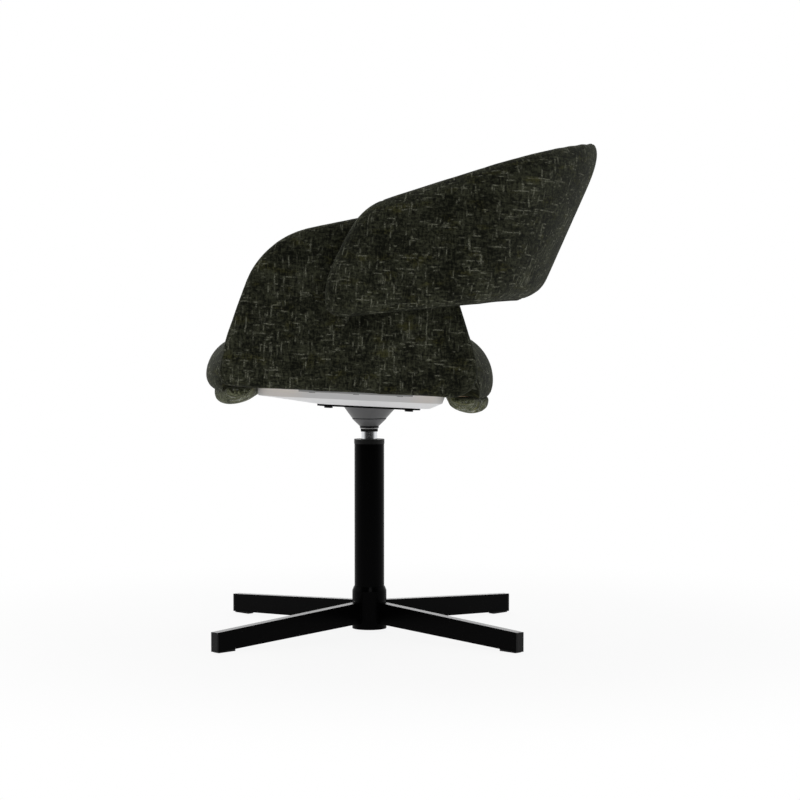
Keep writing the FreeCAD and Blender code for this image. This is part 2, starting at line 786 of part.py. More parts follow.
def make_board():
    half = "( " + board_half_width + " )"
    corners = rectangle("- " + half, half, "- board_front", "board_rear", "board_corner")
    body = slab("seat_board", corners, board_bottom, "board_thickness")
    barrel = new_sketch(body, "board_nut_hole", "XY_Plane")
    draw_circle(barrel, "bolt_pitch / 2", "bolt_pitch / 2", "nut_barrel_diameter / 2 + fastener_fit")
    barrel_cut = cut_out(body, barrel, symmetric=True)
    recess = new_sketch(body, "board_nut_recess", "XY_Plane", board_top)
    draw_circle(recess, "bolt_pitch / 2", "bolt_pitch / 2", "nut_flange_diameter / 2 + fastener_fit")
    recess_cut = cut_out(body, recess, "nut_flange_thickness")
    patterned(body, [barrel_cut, recess_cut], "4")
    pilots = new_sketch(body, "board_screw_pilots", "XY_Plane", board_bottom)
    for side in ("", "- "):
        for row in screw_rows:
            draw_circle(pilots, side + screw_line, row, "screw_diameter / 2 + fastener_fit")
    pilot_cut = cut_out(body, pilots, "screw_length")
    pilot_cut.Reversed = True
    rake_back(body)


# Wing plane: distances along the chair, up the panel and out through it.
lean = math.radians(size("wing_lean"))
base_height = size("plate_thickness") + size("pan_depth")
half_spread = size("wing_spread") / 2
up_panel = Vector(math.sin(lean), 0, math.cos(lean))
out_of_panel = Vector(math.cos(lean), 0, -math.sin(lean))


def on_wing(along, up, out):
    return Vector(half_spread, along, base_height) + up_panel * up + out_of_panel * out


def round_wire(corners, to_space):
    # A closed wire through (u, v, radius) corners, with each corner rounded by an arc.
    count = len(corners)
    points = [Vector(u, v, 0) for u, v, radius in corners]
    rounds = []
    for i, (u, v, radius) in enumerate(corners):
        start, end, centre, middle = corner_arc(points[i - 1], points[i], points[(i + 1) % count], radius)
        rounds.append((start, middle, end))
    edges = []
    for i, (start, middle, end) in enumerate(rounds):
        following = rounds[(i + 1) % count][0]
        edges.append(Part.Arc(to_space(start), to_space(middle), to_space(end)).toShape())
        edges.append(Part.LineSegment(to_space(end), to_space(following)).toShape())
    return Part.Wire(edges)


def turns(points):
    # For each corner, the directions in and out of it and the lengths of its two sides.
    count = len(points)
    for i, point in enumerate(points):
        before = point - points[i - 1]
        after = points[(i + 1) % count] - point
        yield before.Length, after.Length, before.normalize(), after.normalize()


def rounded_off(corners):
    # From (u, v, share) corners to (u, v, radius): each round takes that share of the shorter side beside it.
    points = [Vector(u, v, 0) for u, v, share in corners]
    rounded = []
    for (u, v, share), (before, after, into, out) in zip(corners, turns(points)):
        half_turn = math.tan(math.acos(into.dot(out)) / 2)
        rounded.append((u, v, share * min(before, after) / half_turn))
    return rounded


def drawn_in(corners, inset):
    # The same outline, corners in anticlockwise order, moved inwards all round.
    if not inset:
        return corners
    points = [Vector(u, v, 0) for u, v, radius in corners]
    inner = []
    for point, (before, after, into, out) in zip(points, turns(points)):
        sides = Vector(-into.y, into.x, 0) + Vector(-out.y, out.x, 0)
        inner.append(point + sides * (2 * inset / sides.Length ** 2))
    rounded = []
    for point, corner, (before, after, into, out) in zip(inner, corners, turns(inner)):
        half_turn = math.tan(math.acos(into.dot(out)) / 2)
        room = min(before, after) * size("core_corner_share") / half_turn
        rounded.append((point.x, point.y, min(room, max(corner[2] - inset, size("core_corner_radius")))))
    return rounded


def arc_edge(first, through, last):
    return Part.Arc(first, through, last).toShape()


def line_edge(first, last):
    return Part.LineSegment(first, last).toShape()


def mirrored(shape):
    return shape.mirror(Vector(0, 0, 0), Vector(1, 0, 0))


def rod_between(start, end, radius):
    along = end - start
    return Part.makeCylinder(radius, along.Length, start, along)


def add_shape(label, shape, raked=True):
    piece = doc.addObject("Part::Feature", label)
    piece.Label = label
    piece.Shape = shape
    nodes.append(piece)
    if raked:
        rake_back(piece)
    return piece


def wing_outline(inset):
    hem = -size("wing_hem_depth")
    outline = [
        (-size("wing_front_foot"), hem, size("wing_front_foot_round")),
        (size("wing_rear_foot"), hem, size("wing_rear_foot_round")),
        (size("wing_rear_waist"), size("wing_rear_waist_height"), size("wing_rear_waist_round")),
        (size("wing_rear_shoulder"), size("wing_rear_shoulder_height"), size("wing_rear_shoulder_round")),
        (-size("wing_front_shoulder"), size("wing_front_shoulder_height"), size("wing_front_shoulder_round")),
        (-size("wing_front_waist"), size("wing_front_waist_height"), size("wing_front_waist_round")),
    ]
    return round_wire(drawn_in(rounded_off(outline), inset), lambda p: on_wing(p.x, p.y, 0))


def panel(wire, outside, inside):
    # A flat panel on the wing plane, from inside to outside distances through it.
    face = Part.Face(wire)
    face.translate(out_of_panel * inside)
    return face.extrude(out_of_panel * (outside - inside))


def wing_slab():
    # A lens, thick in the middle of the panel's height and thinner at its hem and top.
    middle = size("wing_thickness") / 2
    edge = size("wing_edge_thickness") / 2
    low = -size("wing_hem_depth")
    high = size("wing_rear_shoulder_height")
    waist = (low + high) / 2
    start = -size("wing_front_foot") - size("wing_thickness")
    run = size("wing_front_foot") + size("wing_rear_foot") + 2 * size("wing_thickness")
    corner = {}
    for side in (-1, 1):
        corner[side] = [
            on_wing(start, low, side * edge),
            on_wing(start, waist, side * middle),
            on_wing(start, high, side * edge),
        ]
    edges = [
        arc_edge(*corner[1]),
        line_edge(corner[1][2], corner[-1][2]),
        arc_edge(*reversed(corner[-1])),
        line_edge(corner[-1][0], corner[1][0]),
    ]
    return Part.Face(Part.Wire(edges)).extrude(Vector(0, run, 0))


def rim_edges(solid):
    # Edges round the two largest faces of a panel.
    broad = sorted(solid.Faces, key=lambda face: face.Area)[-2:]
    return [edge for face in broad for edge in face.Edges]


def back_bolt_spots():
    return [-size("back_bolt_forward"), size("back_bolt_rear")]


def bolt_rods(clearance):
    # Shank from the wing core out into the backrest core, and the head on the wing core's inner face.
    core = size("wing_core_thickness") / 2
    head_start = -core - size("back_bolt_head_height")
    tip = band_core_outside() - size("padding_gap")
    rods = []
    for along in back_bolt_spots():
        up = size("back_bolt_height")
        shank = rod_between(on_wing(along, up, -core), on_wing(along, up, tip + clearance),
                            size("back_bolt_diameter") / 2 + clearance)
        head = rod_between(on_wing(along, up, head_start - clearance), on_wing(along, up, -core),
                           size("back_bolt_head_diameter") / 2 + clearance)
        rods.append(head.fuse(shank).removeSplitter())
    return rods


def band_core_outside():
    # Distance from the wing's middle plane to the outer face of the backrest core.
    inner_face = size("wing_thickness") / 2 + size("band_wing_gap")
    return inner_face + (size("band_thickness") + size("band_core_thickness")) / 2


def pin_rods(clearance):
    core = size("wing_core_thickness") / 2
    inside = -core - size("bracket_thickness")
    rods = []
    for row in screw_rows:
        along = value(cell(row))
        up = size("pin_height")
        radius = size("pin_diameter") / 2 + clearance
        rods.append(rod_between(on_wing(along, up, inside), on_wing(along, up, core), radius))
    return rods


def bracket_blade(clearance):
    # The part of a bracket that stands up inside the wing, with the foot's end below it.
    core = size("wing_core_thickness") / 2
    inside = -core - size("bracket_thickness") - clearance
    half = size("bracket_length") / 2 + clearance
    middle = -size("bracket_forward")
    low = -size("wing_hem_depth") - size("bracket_thickness") - clearance
    high = size("bracket_height") + clearance
    corners = [(middle - half, low), (middle + half, low), (middle + half, high), (middle - half, high)]
    points = [on_wing(along, up, inside) for along, up in corners]
    face = Part.Face(Part.makePolygon(points + points[:1]))
    return face.extrude(out_of_panel * (-core + clearance - inside))


def foot_slot(clearance):
    # Room where the bracket's foot runs in under the wing's inner padding.
    half = size("bracket_length") / 2 + clearance
    thickness = size("bracket_thickness")
    inner = half_spread - size("wing_thickness")
    start = Vector(inner, -size("bracket_forward") - half, base_height - thickness - clearance)
    return Part.makeBox(size("wing_thickness"), 2 * half, thickness + 2 * clearance, start)


def make_wings():
    gap = size("padding_gap")
    half_core = size("wing_core_thickness") / 2
    reach = size("wing_thickness")
    padding = panel(wing_outline(0), reach, -reach).common(wing_slab())
    padding = padding.makeFillet(size("wing_edge_round") * size("wing_edge_thickness"), rim_edges(padding))
    core_wire = wing_outline(size("wing_core_inset"))
    core = panel(core_wire, half_core, -half_core)
    pocket = panel(wing_outline(size("wing_core_inset") - gap), half_core + gap, -half_core - gap)
    # The band turns in over the wing's rear edge, and the padding gives way to it there.
    lap = band_shell(0, size("band_thickness") + size("band_wing_gap") / 2)
    padding = padding.cut([pocket, bracket_blade(gap), foot_slot(gap), lap] + bolt_rods(gap))
    core = core.cut(pin_rods(size("fastener_fit")) + bolt_rods(size("fastener_fit")))
    add_shape("wing_left", padding)
    add_shape("wing_right", mirrored(padding))
    add_shape("wing_core_left", core)
    add_shape("wing_core_right", mirrored(core))


def make_brackets():
    # An angle of steel: foot under the board, blade against the inner face of the wing core.
    slope = "tan(wing_lean * 1 deg)"
    face = "wing_spread / 2 - wing_core_thickness / 2 / cos(wing_lean * 1 deg)"
    wall = "bracket_thickness / cos(wing_lean * 1 deg)"
    tall = "bracket_height * cos(wing_lean * 1 deg)"
    half_wall = "( wing_core_thickness / 2 + bracket_thickness / 2 )"
    pin_line = board_bottom + " + pin_height * cos(wing_lean * 1 deg) + %s * sin(wing_lean * 1 deg)" % half_wall
    for label, side in (("side_bracket_left", ""), ("side_bracket_right", "- ")):
        body = new_body(label)
        profile = new_sketch(body, label + "_profile", "XZ_Plane", "bracket_forward")
        foot_low = board_bottom + " - bracket_thickness"
        corners = [
            ("( %s )" % bracket_foot_edge, foot_low),
            ("( %s - bracket_thickness * %s )" % (face, slope), foot_low),
            ("( %s + %s * %s )" % (face, tall, slope), board_bottom + " + " + tall),
            ("( %s + %s * %s - %s )" % (face, tall, slope, wall), board_bottom + " + " + tall),
            ("( %s - %s )" % (face, wall), board_bottom),
            ("( %s )" % bracket_foot_edge, board_bottom),
        ]
        draw_outline(profile, [(side + x, y) for x, y in corners])
        padded_out(body, profile, "bracket_length", symmetric=True)
        holes = new_sketch(body, label + "_screw_holes", "XY_Plane", board_bottom)
        for row in screw_rows:
            draw_circle(holes, side + screw_line, row, "screw_diameter / 2 + fastener_fit")
        cut_out(body, holes, "2 * bracket_thickness")
        pin_holes = new_sketch(body, label + "_pin_holes", "YZ_Plane", side + "( " + face + " )")
        for row in screw_rows:
            draw_circle(pin_holes, row, pin_line, "pin_diameter / 2 + 2 * fastener_fit")
        cut_out(body, pin_holes, "8 * bracket_thickness", symmetric=True)
        rake_back(body)


def make_bracket_fasteners():
    screws = []
    for row in screw_rows:
        along = value(cell(row))
        across = value(cell(screw_line))
        foot = base_height - size("bracket_thickness")
        head = rod_between(Vector(across, along, foot - size("screw_head_height")), Vector(across, along, foot),
                           size("screw_head_diameter") / 2)
        shank = rod_between(Vector(across, along, foot), Vector(across, along, base_height + size("screw_length")),
                            size("screw_diameter") / 2)
        screws.append(head.fuse(shank).removeSplitter())
    add_shape("bracket_screws", Part.makeCompound(screws + [mirrored(screw) for screw in screws]))
    pins = pin_rods(0)
    add_shape("core_pins", Part.makeCompound(pins + [mirrored(pin) for pin in pins]))


# Seat cushion: sections from side to side, each of lines and arcs, lofted.
cushion_half_width = half_spread - size("wing_edge_thickness") / 2 - size("cushion_side_gap")


def cushion_ends(across):
    # Where the front and rear noses stand at a distance from the middle.
    share = (across / cushion_half_width) ** 2
    front = -size("cushion_front") + size("cushion_front_bow") * share
    rear = size("cushion_rear") - size("cushion_rear_bow") * share
    return front, rear


def cushion_section(across):
    share = abs(across / cushion_half_width)
    inset = size("cushion_end_inset") * share ** 8
    drop = size("cushion_crown") * share ** 2 + inset
    front, rear = cushion_ends(across)
    front += inset
    rear -= inset
    front_radius = size("front_roll_radius") - drop
    rear_radius = size("rear_roll_radius") - drop

    def at(along, height):
        return Vector(across, along, height)

    def bulge(centre, radius, degrees):
        turn = math.radians(degrees)
        return at(centre[0] + radius * math.cos(turn), centre[1] + radius * math.sin(turn))

    nose = (front, size("front_nose_height"))
    tail = (rear, size("rear_nose_height"))
    lip_front = (front + size("front_lip_inset"), size("front_lip_height"))
    lip_rear = (rear - size("rear_lip_inset"), size("rear_lip_height"))
    front_centre = (front + front_radius, nose[1])
    rear_centre = (rear - rear_radius, tail[1])
    front_crest = (front_centre[0], nose[1] + front_radius)
    rear_crest = (rear_centre[0], tail[1] + rear_radius)
    saddle = ((front_crest[0] + rear_crest[0]) / 2, (front_crest[1] + rear_crest[1]) / 2)

    def under_arc(lip, end):
        # Arc from a lip that runs upright into the nose above it.
        rise = end[1] - lip[1]
        depth = abs(end[0] - lip[0])
        radius = (rise ** 2 + depth ** 2) / (2 * depth)
        inward = 1 if lip[0] > end[0] else -1
        middle = math.asin(rise / radius) / 2
        return at(end[0] + inward * radius * (1 - math.cos(middle)), end[1] - radius * math.sin(middle))

    def easing_arc(first, last, flat_end):
        # Arc between two points that is level at the flat end.
        run = last[0] - first[0]
        rise = last[1] - first[1]
        quarter = 0.25 if flat_end == "first" else 0.75
        return at(first[0] + run / 2, first[1] + rise * quarter)

    edges = [
        line_edge(at(*lip_rear), at(*lip_front)),
        arc_edge(at(*lip_front), under_arc(lip_front, nose), at(*nose)),
        arc_edge(at(*nose), bulge(front_centre, front_radius, 135), at(*front_crest)),
        arc_edge(at(*front_crest), easing_arc(front_crest, saddle, "first"), at(*saddle)),
        arc_edge(at(*saddle), easing_arc(saddle, rear_crest, "last"), at(*rear_crest)),
        arc_edge(at(*rear_crest), bulge(rear_centre, rear_radius, 45), at(*tail)),
        arc_edge(at(*tail), under_arc(lip_rear, tail), at(*lip_rear)),
    ]
    return Part.Wire(edges)


def make_cushion():
    end = cushion_half_width
    stations = [end * step / 4 for step in range(-4, 5)]
    solid = Part.makeLoft([cushion_section(across) for across in stations], True, False)
    gap = size("padding_gap")
    # Room for the board, whose sides the cover laps, and for all that lies below it.
    side = value(cell(board_half_width)) + gap
    front = -size("board_front") - gap
    run = size("board_front") + size("board_rear") + 2 * gap
    board_room = Part.makeBox(2 * side, run, base_height + size("board_thickness"), Vector(-side, front, gap))
    low_room = Part.makeBox(4 * end, run, base_height, Vector(-2 * end, front, gap))
    add_shape("seat_cushion", solid.cut([board_room, low_room]))


def under_roll_section(across, front):
    # One section of the padded roll below the cushion's lip, towards the pan.
    gap = size("padding_gap")
    name = "front_under_" if front else "rear_under_"
    inward = 1 if front else -1
    nose = cushion_ends(across)[0 if front else 1]
    lift = size("under_roll_end_lift") * (across / (size("under_roll_width") / 2)) ** 4
    lip = size("front_lip_height" if front else "rear_lip_height") - gap
    low = lip * lift - size(name + "low_depth") * (1 - lift)
    face = nose + inward * size(name + "face")
    lowest = nose + inward * size(name + "low_inset")
    if front:
        back = -size("pan_rim_front") - size("under_roll_pan_gap")
        step = -size("board_front") + gap
    else:
        back = size("pan_rim_rear") + size("under_roll_pan_gap")
        step = size("board_rear") - gap
    top = base_height - gap
    shoulder = lip - (lip - low) / 2
    back_low = size(name + "back_height") * (1 - lift) + (top - gap) * lift

    def at(along, height):
        return Vector(across, along, height)

    corner = at(face + (lowest - face) * 0.26, low + (shoulder - low) * 0.23)
    belly = at((lowest + back) / 2, low + (back_low - low) * 0.3)
    edges = [
        line_edge(at(step, lip), at(face, lip)),
        line_edge(at(face, lip), at(face, shoulder)),
        arc_edge(at(face, shoulder), corner, at(lowest, low)),
        arc_edge(at(lowest, low), belly, at(back, back_low)),
        line_edge(at(back, back_low), at(back, top)),
        line_edge(at(back, top), at(step, top)),
        line_edge(at(step, top), at(step, lip)),
    ]
    return Part.Wire(edges)


def make_under_rolls():
    half = size("under_roll_width") / 2
    stations = [half * step / 4 for step in range(-4, 5)]
    for label, front in (("front_under_roll", True), ("rear_under_roll", False)):
        sections = [under_roll_section(across, front) for across in stations]
        add_shape(label, Part.makeLoft(sections, True, False))


# Backrest band: a U in plan whose sides lean with the wings and whose back leans further, cut to its side outline.
def band_reach(height, depth):
    # Half width and rear reach, at a height, of the surface that lies a depth inside the band's outer face.
    outer = size("wing_thickness") / 2 + size("band_wing_gap") + size("band_thickness")
    across = half_spread + (height - base_height) * math.tan(lean) + (outer - depth) / math.cos(lean)
    rise = size("band_crest_height") - size("band_tail_height")
    slope = (size("band_crest") - size("band_tail")) / rise
    rear = size("band_tail") + (height - size("band_tail_height")) * slope
    return across, rear - depth / math.cos(math.atan(slope))


def band_plan_edges(height, depth, front):
    # One U line, from the right front round the back to the left front.
    across, rear = band_reach(height, depth)
    corner = size("band_corner_radius") - depth
    back = size("band_back_radius") - depth
    corner_x = across - corner
    back_y = rear - back
    corner_y = back_y + math.sqrt((back - corner) ** 2 - corner_x ** 2)
    toward = math.atan2(corner_y - back_y, corner_x)

    def at(along_x, along_y):
        return Vector(along_x, along_y, height)

    def on_arc(x, y, radius, turn):
        return at(x + radius * math.cos(turn), y + radius * math.sin(turn))

    meet = on_arc(0, back_y, back, toward)
    half_turn = toward / 2
    right_mid = on_arc(corner_x, corner_y, corner, half_turn)
    left_mid = Vector(-right_mid.x, right_mid.y, height)
    left_meet = Vector(-meet.x, meet.y, height)
    return [
        line_edge(at(across, front), at(across, corner_y)),
        arc_edge(at(across, corner_y), right_mid, meet),
        arc_edge(meet, at(0, rear), left_meet),
        arc_edge(left_meet, left_mid, at(-across, corner_y)),
        line_edge(at(-across, corner_y), at(-across, front)),
    ]


def band_shell(outer_depth, inner_depth):
    low = size("band_front_height") - size("band_thickness")
    high = size("band_crest_height") + size("band_thickness")
    front = -size("band_front") - size("band_thickness")
    wires = []
    for height in (low, high):
        outside = band_plan_edges(height, outer_depth, front)
        inside = band_plan_edges(height, inner_depth, front)
        ends = [
            line_edge(outside[-1].Vertexes[-1].Point, inside[-1].Vertexes[-1].Point),
            line_edge(inside[0].Vertexes[0].Point, outside[0].Vertexes[0].Point),
        ]
        wires.append(Part.Wire(Part.__sortEdges__(outside + [ends[0]] + inside + [ends[1]])))
    return Part.makeLoft(wires, True, True)


def band_outline(inset):
    # The side outline as a long bar across the chair. It runs on past the band's rear, which the U itself shapes.
    front = Vector(-size("band_front"), size("band_front_height"), 0)
    tail = Vector(size("band_tail"), size("band_tail_height"), 0)
    cheek = front.y + size("band_cheek_rise")
    brow = Vector(-size("band_brow"), cheek + size("band_brow_rise"), 0)
    crest = Vector(size("band_crest"), size("band_crest_height"), 0)
    beyond = 3 * size("band_thickness")
    low = tail + (tail - front).normalize() * beyond
    high = crest + (crest - brow).normalize() * beyond
    corners = [
        (front.x, front.y, size("band_front_round")),
        (low.x, low.y, size("band_hidden_round")),
        (high.x, high.y, size("band_hidden_round")),
        (brow.x, brow.y, size("band_brow_round")),
        (-size("band_cheek"), cheek, size("band_cheek_round")),
    ]
    half = 2 * half_spread
    wire = round_wire(drawn_in(rounded_off(corners), inset), lambda p: Vector(-half, p.x, p.y))
    return Part.Face(wire).extrude(Vector(2 * half, 0, 0))


def make_backrest():
    gap = size("padding_gap")
    thickness = size("band_thickness")
    core_depth = (thickness - size("band_core_thickness")) / 2
    padding = band_shell(0, thickness).common(band_outline(0))
    core = band_shell(core_depth, thickness - core_depth).common(band_outline(size("band_core_inset")))
    pocket = band_shell(core_depth - gap, thickness - core_depth + gap)
    pocket = pocket.common(band_outline(size("band_core_inset") - gap))
    outline_faces = band_outline(0).Faces
    rims = []
    for edge in padding.Edges:
        owners = [face for face in padding.Faces if any(edge.isSame(other) for other in face.Edges)]
        walls = [face for face in owners if on_outline(face, outline_faces)]
        if len(walls) == 1:
            rims.append(edge)
    padding = padding.makeFillet(size("band_edge_round") * thickness, rims)
    rods = bolt_rods(gap)
    rods += [mirrored(rod) for rod in rods]
    padding = padding.cut([pocket] + rods)
    inserts = insert_tubes(0)
    core = core.cut(insert_tubes(size("fastener_fit"), solid=True))
    add_shape("backrest", padding)
    add_shape("backrest_core", core)
    add_shape("back_inserts", Part.makeCompound(inserts))
    bolts = bolt_rods(0)
    add_shape("back_bolts", Part.makeCompound(bolts + [mirrored(bolt) for bolt in bolts]))


def on_outline(face, outline_faces):
    # True for a face that came from the side outline's walls.
    u0, u1, v0, v1 = face.ParameterRange
    probe = Part.Vertex(face.valueAt((u0 + u1) / 2, (v0 + v1) / 2))
    return any(wall.distToShape(probe)[0] < 1e-4 for wall in outline_faces)


def insert_tubes(clearance, solid=False):
    # Threaded inserts set through the backrest core where the bolts arrive.
    outer = band_core_outside()
    inner = outer - size("band_core_thickness")
    up = size("back_bolt_height")
    tubes = []
    for along in back_bolt_spots():
        start = on_wing(along, up, inner)
        end = on_wing(along, up, outer)
        tube = rod_between(start, end, size("insert_diameter") / 2 + clearance)
        if not solid:
            tube = tube.cut(rod_between(start, end, size("back_bolt_diameter") / 2 + size("fastener_fit")))
        tubes.append(tube)
    return tubes + [mirrored(tube) for tube in tubes]


make_hub()
make_column()
make_bottom_cap()
for leg_name, leg_turn in (("front_right", -135), ("front_left", -45), ("rear_left", 45), ("rear_right", 135)):
    make_leg(leg_name, leg_turn)
    make_leg_cap(leg_name, leg_turn)
    make_glide(leg_name, leg_turn)
make_top_bush()
make_lower_bush()
make_bearing()
make_spindle()
make_circlip()
make_spindle_rings()
make_cones()
make_plate()
make_bolts()
make_tee_nuts()
make_pan()
make_block()
make_board()
make_brackets()
make_bracket_fasteners()
make_cushion()
make_under_rolls()
make_wings()
make_backrest()
doc.recompute()

# Every object has to be sound before anything is written.
for item in doc.Objects:
    if "Invalid" in item.State or "Error" in item.State:
        raise RuntimeError("%s failed: %s" % (item.Label, item.State))
for node in nodes:
    if node.Shape.isNull() or not node.Shape.isValid() or not node.Shape.Solids:
        raise RuntimeError("%s has no sound solid" % node.Label)

os.makedirs("parts", exist_ok=True)
for node in nodes:
    node.Shape.exportStep("parts/%s.step" % node.Label)
    print("%s: %d solids, %.0f mm3" % (node.Label, len(node.Shape.Solids), node.Shape.Volume))
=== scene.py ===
import math

import bmesh
import bpy
import numpy as np
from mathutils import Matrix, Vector
from mathutils.bvhtree import BVHTree


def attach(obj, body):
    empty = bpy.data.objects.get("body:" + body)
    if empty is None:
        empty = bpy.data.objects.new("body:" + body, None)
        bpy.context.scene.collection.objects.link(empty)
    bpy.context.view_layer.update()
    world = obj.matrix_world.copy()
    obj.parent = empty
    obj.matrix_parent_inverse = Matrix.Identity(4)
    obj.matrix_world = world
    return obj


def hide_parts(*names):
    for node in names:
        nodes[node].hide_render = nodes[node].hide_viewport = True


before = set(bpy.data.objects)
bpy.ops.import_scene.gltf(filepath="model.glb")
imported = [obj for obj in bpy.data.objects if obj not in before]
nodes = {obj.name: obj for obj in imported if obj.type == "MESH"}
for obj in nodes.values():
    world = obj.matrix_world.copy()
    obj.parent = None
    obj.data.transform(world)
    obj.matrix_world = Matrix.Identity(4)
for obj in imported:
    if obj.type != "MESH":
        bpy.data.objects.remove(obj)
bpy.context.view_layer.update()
scene = bpy.context.scene
print("frame:", len(nodes), "CAD nodes")

# swivel chair seen from the sitter's left: padded seat on a black column base, metres throughout


# shader values as plain Python expressions

class Ink:
    def __init__(self, mixer, socket):
        self.mixer = mixer
        self.socket = socket

    def __add__(self, other):
        return self.mixer.maths("ADD", self, other)

    def __radd__(self, other):
        return self.mixer.maths("ADD", other, self)

    def __sub__(self, other):
        return self.mixer.maths("SUBTRACT", self, other)

    def __rsub__(self, other):
        return self.mixer.maths("SUBTRACT", other, self)

    def __mul__(self, other):
        return self.mixer.maths("MULTIPLY", self, other)

    def __rmul__(self, other):
        return self.mixer.maths("MULTIPLY", other, self)

    def __truediv__(self, other):
        return self.mixer.maths("DIVIDE", self, other)

    def __rtruediv__(self, other):
        return self.mixer.maths("DIVIDE", other, self)


class Mixer:
    def __init__(self, tree):
        self.tree = tree
        tree.nodes.clear()

    def node(self, kind, settings=None, inputs=None, out=0):
        made = self.tree.nodes.new(kind)
        for key, setting in (settings or {}).items():
            setattr(made, key, setting)
        for key, given in (inputs or {}).items():
            if isinstance(given, Ink):
                self.tree.links.new(given.socket, made.inputs[key])
            else:
                made.inputs[key].default_value = given
        return Ink(self, made.outputs[out]) if made.outputs else None

    def maths(self, operation, *values):
        return self.node("ShaderNodeMath", {"operation": operation}, dict(enumerate(values)))

    def ease(self, low, high, mask):  # soft step from 0 to 1
        spread = {"interpolation_type": "SMOOTHSTEP"}
        return self.node("ShaderNodeMapRange", spread, {"Value": mask, "From Min": low, "From Max": high})

    def noise(self, vector, scale, detail=2.0, rough=0.5):
        return self.node("ShaderNodeTexNoise", None,
                         {"Vector": vector, "Scale": scale, "Detail": detail, "Roughness": rough})

    def vector(self, x, y, z=0.0):
        return self.node("ShaderNodeCombineXYZ", None, {"X": x, "Y": y, "Z": z})

    def axis(self, vector, which):
        return self.node("ShaderNodeSeparateXYZ", None, {"Vector": vector}, which)

    def tint(self, mask, first, second):  # colour between two, by a mask
        return self.node("ShaderNodeMix", {"data_type": "RGBA"}, {0: mask, 6: first, 7: second}, 2)

    def bump(self, height, strength, distance):
        return self.node("ShaderNodeBump", None,
                         {"Height": height, "Strength": strength, "Distance": distance})

    def surface(self, shader, target="ShaderNodeOutputMaterial"):
        self.node(target, None, {"Surface": shader})


def newFinish(name):
    made = bpy.data.materials.new(name)
    made.use_nodes = True
    return made, Mixer(made.node_tree)


def principled(mix, **sockets):
    named = {key.replace("_", " "): given for key, given in sockets.items()}
    return mix.node("ShaderNodeBsdfPrincipled", None, named)


def objectSpace(mix):
    return mix.node("ShaderNodeTexCoord", None, None, "Object")


# camera, floor and light

view = {"x": 3.75, "z": 0.5473, "pitch": 2.443, "lens": 101.26}
studio = {
    "floorSize": 5.0,
    "floorTone": 0.85,
    "floorBack": 0.6,  # share of the floor that glows back at the chair like a light table
    "floorGlow": 0.9,  # share of the floor's white that isn't shaded, at the chair
    "shadowReach": (0.45, 1.1),
    "ambient": 0.28,
    "darkSide": 0.45,  # what is left of the surroundings on the side the photograph was taken from
    "darkGloss": 0.03,  # and what of it is mirrored
}


def makeCamera():
    data = bpy.data.cameras.new("camera")
    data.sensor_width = 36.0
    data.lens = view["lens"]
    cam = bpy.data.objects.new("camera", data)
    cam.location = (view["x"], 0, view["z"])
    cam.rotation_euler = (math.radians(90 - view["pitch"]), 0, math.radians(90))
    scene.collection.objects.link(cam)
    scene.camera = cam


def makeWorld():
    world = bpy.data.worlds.new("studio")
    scene.world = world
    world.use_nodes = True
    mix = Mixer(world.node_tree)
    isCamera = mix.node("ShaderNodeLightPath", None, None, "Is Camera Ray")
    isGlossy = mix.node("ShaderNodeLightPath", None, None, "Is Glossy Ray")
    isThrough = mix.node("ShaderNodeLightPath", None, None, "Is Transmission Ray")
    way = mix.node("ShaderNodeTexCoord", None, None, "Generated")
    nearSide = mix.ease(-0.15, 0.75, mix.axis(way, 0))
    shown = mix.maths("MAXIMUM", isGlossy, isThrough)
    matteLevel = studio["ambient"] * (1 - (1 - studio["darkSide"]) * nearSide)
    glossLevel = 1 - (1 - studio["darkGloss"]) * nearSide
    level = matteLevel + shown * (glossLevel - matteLevel)
    tone = mix.vector(level, level, level)
    around = mix.node("ShaderNodeBackground", None, {"Color": tone, "Strength": 1.0})
    white = mix.node("ShaderNodeBackground", None, {"Color": (1, 1, 1, 1), "Strength": 1.0})
    sky = mix.node("ShaderNodeMixShader", None, {0: isCamera, 1: around, 2: white})
    mix.surface(sky, "ShaderNodeOutputWorld")


def makeFloor():
    half = studio["floorSize"] / 2
    mesh = bpy.data.meshes.new("studioFloor")
    low = -0.0003  # just under the glides
    corners = [(-half, -half, low), (half, -half, low), (half, half, low), (-half, half, low)]
    mesh.from_pydata(corners, [], [(0, 1, 2, 3)])
    floor = bpy.data.objects.new("studioFloor", mesh)
    scene.collection.objects.link(floor)
    finish, mix = newFinish("paleFloor")
    tone = studio["floorTone"]
    matte = mix.node("ShaderNodeBsdfDiffuse", None, {"Color": (tone, tone, tone, 1)})
    glow = mix.node("ShaderNodeEmission", None, {"Color": (1, 1, 1, 1), "Strength": 1.0})
    isCamera = mix.node("ShaderNodeLightPath", None, None, "Is Camera Ray")
    place = objectSpace(mix)
    away = mix.node("ShaderNodeVectorMath", {"operation": "LENGTH"}, {0: place}, "Value")
    share = studio["floorGlow"] + (1 - studio["floorGlow"]) * mix.ease(*studio["shadowReach"], away)
    back = studio["floorBack"]
    share = back + isCamera * (share - back)
    mix.surface(mix.node("ShaderNodeMixShader", None, {0: share, 1: matte, 2: glow}))
    mesh.materials.append(finish)


